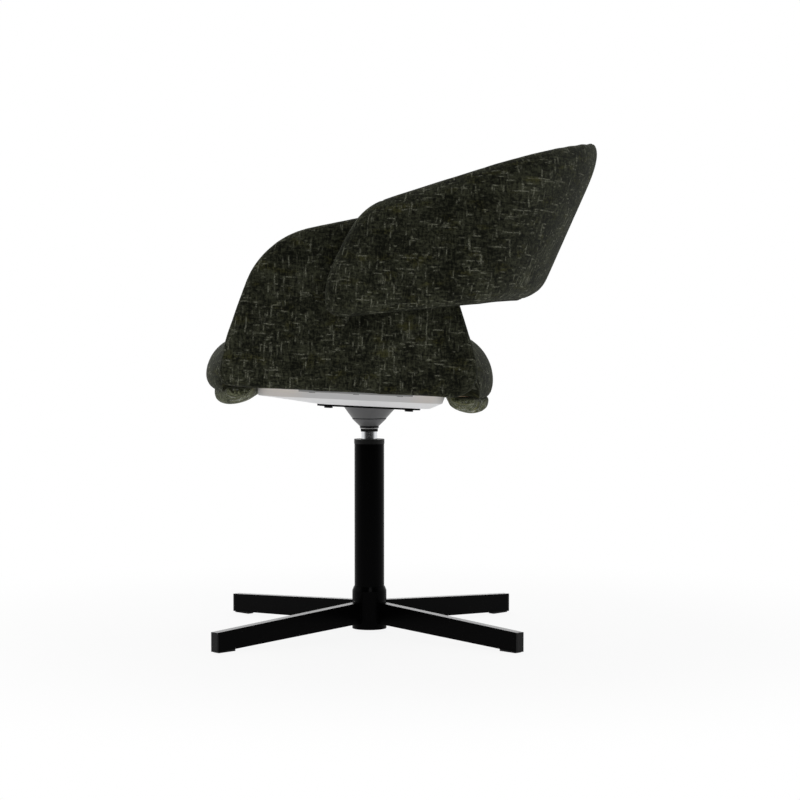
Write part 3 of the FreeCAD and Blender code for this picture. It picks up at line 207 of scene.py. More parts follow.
softboxes = {
    "overhead": {"at": (-0.6, 0.0, 3.4), "aim": (0, 0, 0.3), "size": 3.2, "power": 62},
    "behind": {"at": (-3.4, -0.6, 1.5), "aim": (0, 0, 0.5), "size": 2.6, "power": 34},
    "sitterFront": {"at": (0.6, -3.6, 1.4), "aim": (0, 0, 0.5), "size": 2.2, "power": 7},
    "sitterBack": {"at": (0.6, 3.6, 1.4), "aim": (0, 0, 0.5), "size": 2.2, "power": 1.5},
    "nearSide": {"at": (3.4, 0.4, 3.0), "aim": (0, 0, 0.6), "size": 1.2, "power": 22, "gloss": 0.2},
}


def makeLights():
    for name, box in softboxes.items():
        data = bpy.data.lights.new(name, "AREA")
        data.shape = "SQUARE"
        data.size = box["size"]
        data.energy = box["power"]
        data.specular_factor = box.get("gloss", 1.0)
        lamp = bpy.data.objects.new(name, data)
        lamp.location = box["at"]
        lamp.rotation_euler = (Vector(box["aim"]) - Vector(box["at"])).to_track_quat("-Z", "Y").to_euler()
        scene.collection.objects.link(lamp)


makeCamera()
makeWorld()
makeFloor()
makeLights()
print("camera, floor and light set")


# finishes of the metal, plastic and wood pieces

blackCoat = {"tone": (0.0008, 0.0008, 0.0009, 1), "worn": (0.0025, 0.0025, 0.0025, 1), "peel": 900}


def makeBlackCoat():
    finish, mix = newFinish("blackPowderCoat")
    place = objectSpace(mix)
    peel = mix.noise(place, blackCoat["peel"], 2)
    cloud = mix.noise(place, 14, 3)
    mix.surface(principled(
        mix,
        Base_Color=mix.tint(mix.ease(0.6, 0.8, cloud) * 0.5, blackCoat["tone"], blackCoat["worn"]),
        Roughness=0.2 + cloud * 0.08,
        Specular_IOR_Level=0.03,
        Normal=mix.bump(peel, 0.12, 0.0002),
    ))
    return finish


blackPlastic = {"tone": (0.0012, 0.0012, 0.0012, 1), "dusty": (0.004, 0.004, 0.004, 1), "grain": 1400}


def makeBlackPlastic():
    finish, mix = newFinish("blackMouldedPlastic")
    place = objectSpace(mix)
    grain = mix.noise(place, blackPlastic["grain"], 3, 0.7)
    cloud = mix.noise(place, 30, 2)
    mix.surface(principled(
        mix,
        Base_Color=mix.tint(cloud, blackPlastic["tone"], blackPlastic["dusty"]),
        Roughness=0.42 + grain * 0.16,
        Specular_IOR_Level=0.2,
        Normal=mix.bump(grain, 0.3, 0.0002),
    ))
    return finish


def makeRubber():
    finish, mix = newFinish("blackRubber")
    place = objectSpace(mix)
    dust = mix.noise(place, 160, 4)
    mix.surface(principled(
        mix,
        Base_Color=mix.tint(dust, (0.004, 0.004, 0.004, 1), (0.012, 0.012, 0.011, 1)),
        Roughness=0.6 + dust * 0.2,
        Specular_IOR_Level=0.15,
        Normal=mix.bump(dust, 0.2, 0.0003),
    ))
    return finish


def makeChrome():
    finish, mix = newFinish("polishedChrome")
    place = objectSpace(mix)
    turned = mix.vector(mix.axis(place, 0) * 30, mix.axis(place, 1) * 30, mix.axis(place, 2) * 2600)
    rings = mix.noise(turned, 1, 2)
    haze = mix.noise(place, 70, 3)
    mix.surface(principled(
        mix,
        Base_Color=mix.tint(haze, (0.62, 0.63, 0.65, 1), (0.74, 0.75, 0.77, 1)),
        Metallic=1.0,
        Roughness=0.06 + haze * 0.05 + rings * 0.03,
        Normal=mix.bump(rings, 0.03, 0.0001),
    ))
    return finish


greyCone = {"low": (0.088, 0.088, 0.09, 1), "high": (0.115, 0.115, 0.117, 1)}


def makeGreyCone():
    finish, mix = newFinish("greySatinPaint")
    place = objectSpace(mix)
    fleck = mix.noise(place, 700, 3, 0.6)
    cloud = mix.noise(place, 25, 2)
    mix.surface(principled(
        mix,
        Base_Color=mix.tint(cloud * 0.7 + fleck * 0.3, greyCone["low"], greyCone["high"]),
        Roughness=0.34 + fleck * 0.12,
        Specular_IOR_Level=0.5,
        Normal=mix.bump(fleck, 0.08, 0.0002),
    ))
    return finish


panGrey = {"low": (0.80, 0.80, 0.805, 1), "high": (0.85, 0.85, 0.855, 1)}


def makePanGrey():
    finish, mix = newFinish("lightGreyPan")
    place = objectSpace(mix)
    grain = mix.noise(place, 850, 3, 0.65)
    cloud = mix.noise(place, 9, 3)
    mix.surface(principled(
        mix,
        Base_Color=mix.tint(cloud * 0.75 + grain * 0.25, panGrey["low"], panGrey["high"]),
        Roughness=0.5 + grain * 0.14,
        Specular_IOR_Level=0.3,
        Normal=mix.bump(grain, 0.14, 0.0002),
    ))
    return finish


def makeZinc():
    finish, mix = newFinish("zincPlatedSteel")
    place = objectSpace(mix)
    spangle = mix.noise(place, 260, 4, 0.6)
    mix.surface(principled(
        mix,
        Base_Color=mix.tint(spangle, (0.3, 0.3, 0.31, 1), (0.46, 0.46, 0.45, 1)),
        Metallic=1.0,
        Roughness=0.3 + spangle * 0.2,
        Normal=mix.bump(spangle, 0.08, 0.0002),
    ))
    return finish


def makeBlackBolt():
    finish, mix = newFinish("blackOxideSteel")
    place = objectSpace(mix)
    spot = mix.noise(place, 420, 3, 0.6)
    mix.surface(principled(
        mix,
        Base_Color=mix.tint(spot, (0.006, 0.006, 0.006, 1), (0.02, 0.02, 0.021, 1)),
        Metallic=0.4,
        Roughness=0.36 + spot * 0.16,
        Specular_IOR_Level=0.3,
        Normal=mix.bump(spot, 0.1, 0.0002),
    ))
    return finish


def makePlywood():
    finish, mix = newFinish("birchPlywood")
    place = objectSpace(mix)
    x, y, z = (mix.axis(place, which) for which in range(3))
    bend = mix.noise(mix.vector(x * 5, y * 1.2, z * 5), 1, 3)
    grain = mix.noise(mix.vector(x * 170 + bend * 14, y * 5, z * 170), 1, 4, 0.6)
    pores = mix.ease(0.62, 0.72, mix.noise(mix.vector(x * 900, y * 40, z * 900), 1, 1))
    wood = mix.tint(grain, (0.5, 0.34, 0.19, 1), (0.68, 0.52, 0.34, 1))
    mix.surface(principled(
        mix,
        Base_Color=mix.tint(pores * 0.35, wood, (0.3, 0.18, 0.09, 1)),
        Roughness=0.55 + grain * 0.2,
        Specular_IOR_Level=0.25,
        Normal=mix.bump(grain - pores * 0.4, 0.15, 0.0003),
    ))
    return finish


steelNodes = ["base_hub", "column_tube", "seat_plate"]
plasticNodes = ["hub_bottom_cap", "column_top_bush", "column_lower_bush", "spindle_collar"]
for corner in ("front_left", "front_right", "rear_left", "rear_right"):
    steelNodes.append("leg_" + corner)
    plasticNodes += ["leg_cap_" + corner, "glide_" + corner]
zincNodes = ["spindle_circlip", "spindle_washer", "tee_nuts", "side_bracket_left", "side_bracket_right",
             "bracket_screws", "core_pins", "back_bolts", "back_inserts", "bearing_seat",
             "bearing_lower_race", "bearing_upper_race", "bearing_balls", "ball_cage"]
coatFinish = makeBlackCoat()
dressing = [
    (coatFinish, steelNodes),
    (makeBlackPlastic(), plasticNodes),
    (makeRubber(), ["dust_ring", "cone_gasket"]),
    (makeChrome(), ["spindle"]),
    (makeGreyCone(), ["hub_cone_lower", "hub_cone_upper"]),
    (makePanGrey(), ["under_seat_pan"]),
    (makeZinc(), zincNodes),
    (makeBlackBolt(), ["plate_bolts"]),
    (makePlywood(), ["spacer_block", "seat_board", "wing_core_left", "wing_core_right", "backrest_core"]),
]
for finish, names in dressing:
    for name in names:
        mesh = nodes[name].data
        mesh.materials.clear()
        mesh.materials.append(finish)


# edges broken by a hair so that they catch light
edgeBreak = {"steel": 0.0008, "plastic": 0.0006}


def breakEdges(names, width, angle=35):
    for name in names:
        bevel = nodes[name].modifiers.new("edgeBreak", "BEVEL")
        bevel.width = width
        bevel.segments = 2
        bevel.limit_method = "ANGLE"
        bevel.angle_limit = math.radians(angle)
        bevel.use_clamp_overlap = True


breakEdges([name for name in steelNodes if name != "column_tube"], edgeBreak["steel"])
breakEdges([name for name in plasticNodes if "glide" not in name], edgeBreak["plastic"])
print("metal, plastic and wood dressed")


# chenille cover: dark olive ground, paler slubs lying both ways, a fine cross weave

chenille = {
    "ground": (0.0035, 0.004, 0.0018, 1),
    "nap": (0.053, 0.056, 0.034, 1),
    "moss": (0.062, 0.06, 0.017, 1),
    "slub": (0.275, 0.28, 0.21, 1),
    "yarn": 1.9,  # mm between threads
    "slubYarn": 3.0,
    "weftSlub": 19.0,  # mm of a slub
    "warpSlub": 27.0,
    "weftShows": (0.575, 0.71),  # from where on a thread counts as a slub
    "warpShows": (0.57, 0.71),
    "patchy": 0.16,
    "napShows": (0.78, 1.15),
}


def threadRuns(mix, along, across, pitch, length, seed):
    # a value that runs along each thread of one direction, and the thread's own rounded height
    row = across / pitch
    thread = mix.maths("FLOOR", row)
    rise = mix.maths("FRACT", row)
    run = mix.noise(mix.vector(along / length, thread * 7.31, seed), 1.0, 2.0, 0.6)
    return run, rise * (1 - rise) * 4


def makeChenille(name, lift):
    finish, mix = newFinish(name)
    # lift scales every tone of the cloth; above 1 it paints light into the colour
    tones = {}
    for key in ("ground", "nap", "moss", "slub"):
        tones[key] = (*(min(c * lift, 0.8) for c in chenille[key][:3]), 1)
    weave = mix.node("ShaderNodeUVMap", {"uv_map": "weave"})
    u = mix.axis(weave, 0) * 1000
    v = mix.axis(weave, 1) * 1000
    flat = mix.vector(u, v)
    a = u + (mix.noise(flat, 0.05, 2) - 0.5) * 5
    b = v + (mix.noise(mix.vector(u + 431, v + 87), 0.05, 2) - 0.5) * 5
    patch = mix.noise(flat, 0.02, 3, 0.6) - 0.5
    # every thread is a little lighter and darker along its length
    weftRun, weftCore = threadRuns(mix, a, b, chenille["yarn"], 11, 1.7)
    warpRun, warpCore = threadRuns(mix, b, a, chenille["yarn"], 11, 5.3)
    fuzz = mix.noise(flat, 0.5, 4, 0.75)
    mottle = mix.noise(mix.vector(u + 57, v + 13), 0.2, 3, 0.7)
    grain = weftRun * 0.42 + warpRun * 0.42 + fuzz * 0.4 + mottle * 0.6 + patch * 0.4
    nap = mix.ease(*chenille["napShows"], grain)
    # and some have pale slubs spun into them
    weftSlub, weftRib = threadRuns(mix, a, b, chenille["slubYarn"], chenille["weftSlub"], 12.4)
    warpSlub, warpRib = threadRuns(mix, b, a, chenille["slubYarn"], chenille["warpSlub"], 23.9)
    more = patch * chenille["patchy"]
    weft = mix.ease(*(level - more for level in chenille["weftShows"]), weftSlub) * weftRib
    warp = mix.ease(*(level - more for level in chenille["warpShows"]), warpSlub) * warpRib
    slub = mix.maths("MINIMUM", weft + warp, 1.0) * mix.ease(0.34, 0.66, fuzz)
    mossy = mix.ease(0.54, 0.7, mix.noise(mix.vector(u * 0.5 + 99, v), 0.05, 2))
    ground = mix.tint(nap, tones["ground"], mix.tint(mossy * 0.7, tones["nap"], tones["moss"]))
    height = fuzz * 0.5 + slub * 0.6 + (weftCore + warpCore) * 0.16
    mix.surface(principled(
        mix,
        Base_Color=mix.tint(slub * 0.9, ground, tones["slub"]),
        Roughness=0.88 + fuzz * 0.1,
        Specular_IOR_Level=0.12,
        Sheen_Weight=0.04,
        Sheen_Roughness=0.5,
        Sheen_Tint=(0.78, 0.84, 0.7, 1),
        Normal=mix.bump(height, 0.7, 0.0009),
    ))
    return finish


chenilleFinish = makeChenille("oliveChenille", 1.0)
# the rolls below the seat use the same cloth with every tone 4.1 times lighter: painted light, standing in
# for the light the floor throws up onto them
paintedUnderlightFinish = makeChenille("oliveChenillePaintedUnderlight", 4.1)


def makeThread():
    finish, mix = newFinish("darkSeamThread")
    place = objectSpace(mix)
    twist = mix.noise(place, 900, 2)
    mix.surface(principled(
        mix,
        Base_Color=mix.tint(twist, (0.008, 0.0085, 0.006, 1), (0.022, 0.023, 0.016, 1)),
        Roughness=0.85,
        Specular_IOR_Level=0.1,
        Normal=mix.bump(twist, 0.4, 0.0003),
    ))
    return finish


threadFinish = makeThread()
print("fabric finish ready")


# the seat is drawn level on its mounting plate, then raked back with it

seat = {"axisY": -0.05125, "plateZ": 0.3775, "rake": 2.7, "boardLow": 0.030, "boardTop": 0.045,
        "boardFront": -0.226, "boardRear": 0.171, "boardHalf": 0.1932, "fit": 0.0004}
rakeCos = math.cos(math.radians(seat["rake"]))
rakeSin = math.sin(math.radians(seat["rake"]))


def rakedToWorld(points):
    x, y, z = np.asarray(points, float).T
    depth = seat["axisY"] + y * rakeCos + z * rakeSin
    height = seat["plateZ"] + z * rakeCos - y * rakeSin
    return np.stack([x, depth, height], 1)


def worldToRaked(points):
    x, y, z = np.asarray(points, float).T
    y = y - seat["axisY"]
    z = z - seat["plateZ"]
    return np.stack([x, y * rakeCos - z * rakeSin, z * rakeCos + y * rakeSin], 1)


def arcPoints(centre, radius, start, end, count):
    turn = np.radians(np.linspace(start, end, count))
    return [(centre[0] + radius * math.cos(t), centre[1] + radius * math.sin(t)) for t in turn]


def linePoints(first, last, count):
    return [(first[0] + (last[0] - first[0]) * t, first[1] + (last[1] - first[1]) * t)
            for t in np.linspace(0, 1, count)]


def roundOutline(corners, inset=0.0, steps=10):
    # closed outline from (u, v, radius) corners, anticlockwise, drawn in by inset
    points = [Vector((u, v)) for u, v, radius in corners]
    count = len(points)
    moved = []
    for i, point in enumerate(points):
        into = (point - points[i - 1]).normalized()
        out = (points[(i + 1) % count] - point).normalized()
        sides = Vector((-into.y, into.x)) + Vector((-out.y, out.x))
        moved.append(point + sides * (2 * inset / sides.length_squared))
    outline = []
    for i, point in enumerate(moved):
        toward = (moved[i - 1] - point).normalized()
        away = (moved[(i + 1) % count] - point).normalized()
        half = math.acos(max(-1, min(1, toward.dot(away)))) / 2
        radius = max(corners[i][2] - inset, 0.004)
        centre = point + (toward + away).normalized() * (radius / math.sin(half))
        first = point + toward * (radius / math.tan(half)) - centre
        last = point + away * (radius / math.tan(half)) - centre
        sweep = math.atan2(first.x * last.y - first.y * last.x, first.dot(last))
        for step in range(steps + 1):
            turn = sweep * step / steps
            outline.append((centre.x + first.x * math.cos(turn) - first.y * math.sin(turn),
                            centre.y + first.x * math.sin(turn) + first.y * math.cos(turn)))
    return outline


def fillRuns(outline, spacing):
    # adds points on the long straight runs of a closed outline
    full = []
    for i, here in enumerate(outline):
        ahead = outline[(i + 1) % len(outline)]
        count = max(1, int(math.dist(here, ahead) / spacing))
        full += linePoints(here, ahead, count + 1)[:-1]
    return full


# padded pieces: closed form, remeshed, eased, blown up as cloth, then seamed

def formObject(name, points, faces):
    mesh = bpy.data.meshes.new(name)
    mesh.from_pydata([tuple(p) for p in points], [], faces)
    made = bpy.data.objects.new(name, mesh)
    scene.collection.objects.link(made)
    bm = bmesh.new()
    bm.from_mesh(mesh)
    bmesh.ops.recalc_face_normals(bm, faces=bm.faces)
    bm.to_mesh(mesh)
    bm.free()
    return made


def ringFaces(rings, size):
    faces = []
    for ring in range(rings - 1):
        for i in range(size):
            j = (i + 1) % size
            low, high = ring * size, (ring + 1) * size
            faces.append((low + i, low + j, high + j, high + i))
    faces.append(tuple(range(size))[::-1])
    faces.append(tuple((rings - 1) * size + i for i in range(size)))
    return faces


def loopFaces(rings, size):
    # the same, with the last ring joined to the first
    last = (rings - 1) * size
    joint = [(last + k, last + (k + 1) % size, (k + 1) % size, k) for k in range(size)]
    return ringFaces(rings, size)[:-2] + joint


def evaluatedMesh(piece):
    graph = bpy.context.evaluated_depsgraph_get()
    return bpy.data.meshes.new_from_object(piece.evaluated_get(graph))


def bakeModifiers(piece):
    baked = evaluatedMesh(piece)
    piece.modifiers.clear()
    old = piece.data
    piece.data = baked
    bpy.data.meshes.remove(old)


def meshPoints(piece):
    points = np.zeros(len(piece.data.vertices) * 3)
    piece.data.vertices.foreach_get("co", points)
    return points.reshape(-1, 3)


def meshNormals(piece):
    normals = np.zeros(len(piece.data.vertices) * 3)
    piece.data.vertices.foreach_get("normal", normals)
    return normals.reshape(-1, 3)


def rakedNormals(piece):
    return worldToRaked(meshNormals(piece) + rakedToWorld([(0, 0, 0)])[0])


def setPoints(piece, points):
    piece.data.vertices.foreach_set("co", np.ascontiguousarray(points, float).ravel())
    piece.data.update()


def easePoints(piece, rounds, share=0.5, hold=None):
    # neighbours' mean, round by round; a held point stays
    edges = np.zeros(len(piece.data.edges) * 2, int)
    piece.data.edges.foreach_get("vertices", edges)
    a, b = edges.reshape(-1, 2).T
    points = meshPoints(piece)
    degree = np.bincount(np.concatenate([a, b]), minlength=len(points))[:, None]
    move = np.full((len(points), 1), share)
    if hold is not None:
        move[hold] = 0
    for turn in range(rounds):
        total = np.zeros_like(points)
        np.add.at(total, a, points[b])
        np.add.at(total, b, points[a])
        points = points + (total / degree - points) * move
    setPoints(piece, points)


def blowUp(piece, settings, hold):
    # cloth with air in it; a point goes straight out by what the air moved it, the cap at most
    start = meshPoints(piece)
    normals = meshNormals(piece)
    group = piece.vertex_groups.new(name="held")
    group.add([int(i) for i in np.nonzero(hold)[0]], 1.0, "REPLACE")
    cloth = piece.modifiers.new("cover", "CLOTH")
    cloth.settings.quality = 5
    cloth.settings.mass = 0.3
    cloth.settings.tension_stiffness = settings["stiff"]
    cloth.settings.compression_stiffness = settings["stiff"]
    cloth.settings.shear_stiffness = settings["stiff"] * 0.6
    cloth.settings.bending_stiffness = 1.5
    cloth.settings.use_pressure = True
    cloth.settings.uniform_pressure_force = settings["pressure"]
    cloth.settings.effector_weights.gravity = 0
    cloth.settings.vertex_group_mass = "held"
    cloth.collision_settings.use_collision = False
    cloth.point_cache.frame_start = 1
    cloth.point_cache.frame_end = 20
    for step in range(1, 21):
        scene.frame_set(step)
    blown = evaluatedMesh(piece)
    points = np.zeros(len(blown.vertices) * 3)
    blown.vertices.foreach_get("co", points)
    rise = ((points.reshape(-1, 3) - start) * normals).sum(1)
    rise = np.clip(rise, 0, settings["cap"])
    piece.modifiers.clear()
    bpy.data.meshes.remove(blown)
    scene.frame_set(1)
    setPoints(piece, start + normals * rise[:, None])
    print("  %s blown up, %.1f mm on average" % (piece.name, rise.mean() * 1000))


def padOut(piece, settings, heldOf, formOf=None):
    remesh = piece.modifiers.new("remesh", "REMESH")
    remesh.mode = "VOXEL"
    remesh.voxel_size = settings["voxel"]
    bakeModifiers(piece)
    fixed, rim = heldOf(worldToRaked(meshPoints(piece)))
    if formOf:
        setPoints(piece, rakedToWorld(formOf(worldToRaked(meshPoints(piece)))))
    easePoints(piece, settings["ease"], 0.5, fixed)
    blowUp(piece, settings, fixed | rim)
    easePoints(piece, 2, 0.4, fixed)
    subdivide = piece.modifiers.new("smooth", "SUBSURF")
    subdivide.levels = 1
    subdivide.render_levels = 1
    bakeModifiers(piece)
    piece.vertex_groups.clear()


def nearestOn(line, points):
    # for each point: distance along an open line of points, and distance from it
    line = np.asarray(line, float)
    lengths = np.concatenate([[0], np.cumsum(np.linalg.norm(np.diff(line, axis=0), axis=1))])
    best = np.full(len(points), 1e9)
    along = np.zeros(len(points))
    for i in range(len(line) - 1):
        step = line[i + 1] - line[i]
        share = np.clip(((points - line[i]) @ step) / (step @ step), 0, 1)
        gap = np.linalg.norm(points - line[i] - share[:, None] * step, axis=1)
        closer = gap < best
        best[closer] = gap[closer]
        along[closer] = lengths[i] + share[closer] * (lengths[i + 1] - lengths[i])
    return along, best


# where on the cloth each piece is cut, in metres along it
cutAt = {"seatCushion": 0.31, "frontUnderRoll": 0.7, "rearUnderRoll": 1.3, "wingLeft": 2.0, "wingRight": 3.0,
         "backrestBand": 4.0, "lining": 0.37}


def layWeave(piece, u, v, lining=None):
    # u and v in metres; the faces of the lining side are cut from another place of the cloth
    layer = piece.data.uv_layers.new(name="weave")
    corners = np.zeros(len(piece.data.loops), int)
    piece.data.loops.foreach_get("vertex_index", corners)
    shift = np.full(len(corners), cutAt[piece.name])
    if lining is not None:
        sides = np.zeros(len(piece.data.polygons), int)
        piece.data.polygons.foreach_get("loop_total", sides)
        face = np.repeat(np.arange(len(sides)), sides)
        inside = np.bincount(face, weights=lining[corners]) / sides > 0.5
        shift += inside[face] * cutAt["lining"]
    layer.data.foreach_set("uv", np.stack([u[corners] + shift, v[corners]], 1).astype(np.float32).ravel())


seamline = {"depth": 0.0016, "width": 0.004, "welt": 0.0009}


def sewSeam(piece, name, path, settings, closed=False):
    # a pulled-in line along the path, with the folded edge of the cover standing in it
    faces = [tuple(face.vertices) for face in piece.data.polygons]
    skin = BVHTree.FromPolygons([tuple(point) for point in meshPoints(piece)], faces)
    onSkin = []
    for point in path:
        found, normal, index, gap = skin.find_nearest(Vector(point))
        onSkin.append((np.array(found), np.array(normal)))
    points = meshPoints(piece)
    normals = meshNormals(piece)
    line = np.array([found for found, normal in onSkin])
    if closed:
        line = np.vstack([line, line[:1]])
    along, gap = nearestOn(line, points)
    dip = settings["depth"] * np.exp(-(gap / settings["width"]) ** 2)
    setPoints(piece, points - normals * dip[:, None])
    sides = 6
    rings = []
    count = len(onSkin)
    for i, (found, normal) in enumerate(onSkin):
        before = onSkin[i - 1][0] if closed or i else found
        after = onSkin[(i + 1) % count][0] if closed or i < count - 1 else found
        ahead = after - before
        ahead /= max(np.linalg.norm(ahead), 1e-9)
        side = np.cross(ahead, normal)
        side /= max(np.linalg.norm(side), 1e-9)
        up = np.cross(side, ahead)
        middle = found - normal * (settings["depth"] - settings["welt"] * 0.4)
        for k in range(sides):
            turn = 2 * math.pi * k / sides
            rings.append(middle + settings["welt"] * (side * math.cos(turn) + up * math.sin(turn)))
    welt = formObject(name, rings, (loopFaces if closed else ringFaces)(count, sides))
    for face in welt.data.polygons:
        face.use_smooth = True
    welt.data.materials.append(threadFinish)
    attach(welt, "seat")
    return welt


def finishPad(piece, node):
    for face in piece.data.polygons:
        face.use_smooth = True
    piece.data.materials.clear()
    # the rolls take the lightened copy of the cloth, with the floor's light painted into it
    piece.data.materials.append(paintedUnderlightFinish if "UnderRoll" in piece.name else chenilleFinish)
    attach(piece, "seat")
    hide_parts(node)
    print("%s: %d points" % (piece.name, len(piece.data.vertices)))


# seat cushion

cushion = {
    "halfWidth": 0.199, "front": 0.273, "rear": 0.2045, "frontBow": 0.034, "rearBow": 0.030, "crown": 0.012,
    "endInset": 0.009, "noseFront": 0.042, "noseRear": 0.049, "rollFront": 0.067, "rollRear": 0.081,
    "lipFront": (0.0135, 0.0185), "lipRear": (0.0093, 0.023),
    "start": 0.0005, "voxel": 0.006, "ease": 3, "pressure": 4.0, "stiff": 12, "cap": 0.004, "fill": 0.9,
    "seamAt": 0.186, "skin": 0.006, "lapAt": 0.184, "sideAt": 0.196, "boardGap": 0.0005, "rimHeld": 0.008,
}


def cushionEnds(x):
    share = (x / cushion["halfWidth"]) ** 2
    return -cushion["front"] + cushion["frontBow"] * share, cushion["rear"] - cushion["rearBow"] * share


def cushionTop(x, inset):
    # profile from the front lip over the top to the rear lip
    share = abs(x / cushion["halfWidth"])
    drawn = inset + cushion["endInset"] * share ** 8
    front, rear = cushionEnds(x)
    front += drawn
    rear -= drawn
    drop = cushion["crown"] * share ** 2 + drawn
    rollFront = cushion["rollFront"] - drop
    rollRear = cushion["rollRear"] - drop
    depth, lip = cushion["lipFront"]
    tuck = ((cushion["noseFront"] - lip) ** 2 + depth ** 2) / (2 * depth)
    sweep = math.degrees(math.asin((cushion["noseFront"] - lip) / tuck))
    points = arcPoints((front + tuck, cushion["noseFront"]), tuck, 180 + sweep, 180, 8)
    points += arcPoints((front + rollFront, cushion["noseFront"]), rollFront, 180, 90, 22)[1:]
    low = points[-1]
    high = (rear - rollRear, cushion["noseRear"] + rollRear)
    for t in np.linspace(0, 1, 26)[1:]:
        points.append((low[0] + (high[0] - low[0]) * t, low[1] + (high[1] - low[1]) * t * t * (3 - 2 * t)))
    points += arcPoints((rear - rollRear, cushion["noseRear"]), rollRear, 90, 0, 24)[1:]
    depth, lip = cushion["lipRear"]
    tuck = ((cushion["noseRear"] - lip) ** 2 + depth ** 2) / (2 * depth)
    sweep = math.degrees(math.asin((cushion["noseRear"] - lip) / tuck))
    points += arcPoints((rear - tuck, cushion["noseRear"]), tuck, 0, -sweep, 8)[1:]
    # the cover goes outside the board, at its corners too
    for i in range(8):
        points[i] = (min(points[i][0], seat["boardFront"] - cushion["skin"]), points[i][1])
        points[-1 - i] = (max(points[-1 - i][0], seat["boardRear"] + cushion["skin"]), points[-1 - i][1])
    return points


def cushionLoop(x, inset, lap=False):
    # closes the profile round the seat board, or where the cover laps the board's side
    top = cushionTop(x, inset)
    gap = cushion["boardGap"]
    rear = seat["boardRear"] + gap
    front = seat["boardFront"] - gap
    board = (seat["boardLow"] if lap else seat["boardTop"]) + gap
    under = linePoints(top[-1], (rear, top[-1][1]), 4)[1:]
    under += linePoints((rear, top[-1][1]), (rear, board), 4)[1:]
    under += linePoints((rear, board), (front, board), 40)[1:]
    under += linePoints((front, board), (front, top[0][1]), 4)[1:]
    under += linePoints((front, top[0][1]), top[0], 4)[1:-1]
    return top + under


def makeCushion():
    inner = np.linspace(-1, 1, 35) * cushion["lapAt"]
    outer = np.linspace(cushion["lapAt"] + 0.0002, cushion["sideAt"], 3)
    outer = np.append(outer, cushion["halfWidth"] - cushion["start"])
    loops = [[(x, y, z) for y, z in cushionLoop(x, cushion["start"], True)] for x in -outer[::-1]]
    loops += [[(x, y, z) for y, z in cushionLoop(x, cushion["start"])] for x in inner]
    loops += [[(x, y, z) for y, z in cushionLoop(x, cushion["start"], True)] for x in outer]
    points = rakedToWorld([p for loop in loops for p in loop])
    piece = formObject("seatCushion", points, ringFaces(len(loops), len(loops[0])))

    def held(raked):
        inside = (raked[:, 1] > seat["boardFront"] - 0.006) & (raked[:, 1] < seat["boardRear"] + 0.006)
        fixed = inside & (raked[:, 2] < seat["boardTop"] + 0.004) & (np.abs(raked[:, 0]) < cushion["lapAt"])
        return fixed, np.abs(raked[:, 0]) > seat["boardHalf"] - cushion["rimHeld"]

    padOut(piece, cushion, held)
    for side, word in ((-1, "Right"), (1, "Left")):
        x = side * cushion["seamAt"]
        path = rakedToWorld([(x, y, z) for y, z in cushionTop(x, 0.002)[4:-4]])
        sewSeam(piece, "cushionSeam" + word, path, seamline)
    raked = worldToRaked(meshPoints(piece))
    # the profile is straightened of its bow, and runs on below its lips
    profile = cushionTop(0, 0.0)
    profile = [(profile[0][0], profile[0][1] - 0.05)] + profile + [(profile[-1][0], profile[-1][1] - 0.05)]
    bow = (raked[:, 0] / cushion["halfWidth"]) ** 2
    back = np.clip((raked[:, 1] + cushion["front"]) / (cushion["front"] + cushion["rear"]), 0, 1)
    straight = raked[:, 1] + bow * (cushion["rearBow"] * back - cushion["frontBow"] * (1 - back))
    along, gap = nearestOn(profile, np.stack([straight, raked[:, 2]], 1))
    layWeave(piece, raked[:, 0], along)
    finishPad(piece, "seat_cushion")


# padded rolls under the cushion's front and rear

underRoll = {
    "halfWidth": 0.197, "endLift": 0.85, "tuck": 0.004, "panGap": 0.004, "panFront": -0.180, "panRear": 0.124,
    "front": {"face": 0.0155, "lowInset": 0.038, "low": -0.003, "back": 0.011, "lip": 0.0185},
    "rear": {"face": 0.006, "lowInset": 0.035, "low": 0.0009, "back": 0.013, "lip": 0.023},
    "start": 0.0005, "voxel": 0.0045, "ease": 3, "pressure": 4.0, "stiff": 12, "cap": 0.002, "fill": 0.85,
    "lipHeld": 0.003, "rimHeld": 0.01,
}


def threePointArc(first, through, last, count):
    # points on the circle through three points
    (ax, ay), (bx, by), (cx, cy) = first, through, last
    d = 2 * (ax * (by - cy) + bx * (cy - ay) + cx * (ay - by))
    ux = ((ax**2 + ay**2) * (by - cy) + (bx**2 + by**2) * (cy - ay) + (cx**2 + cy**2) * (ay - by)) / d
    uy = ((ax**2 + ay**2) * (cx - bx) + (bx**2 + by**2) * (ax - cx) + (cx**2 + cy**2) * (bx - ax)) / d
    radius = math.dist((ux, uy), first)
    start = math.degrees(math.atan2(ay - uy, ax - ux))
    end = math.degrees(math.atan2(cy - uy, cx - ux))
    end += 360 * round((start - end) / 360)
    return arcPoints((ux, uy), radius, start, end, count)


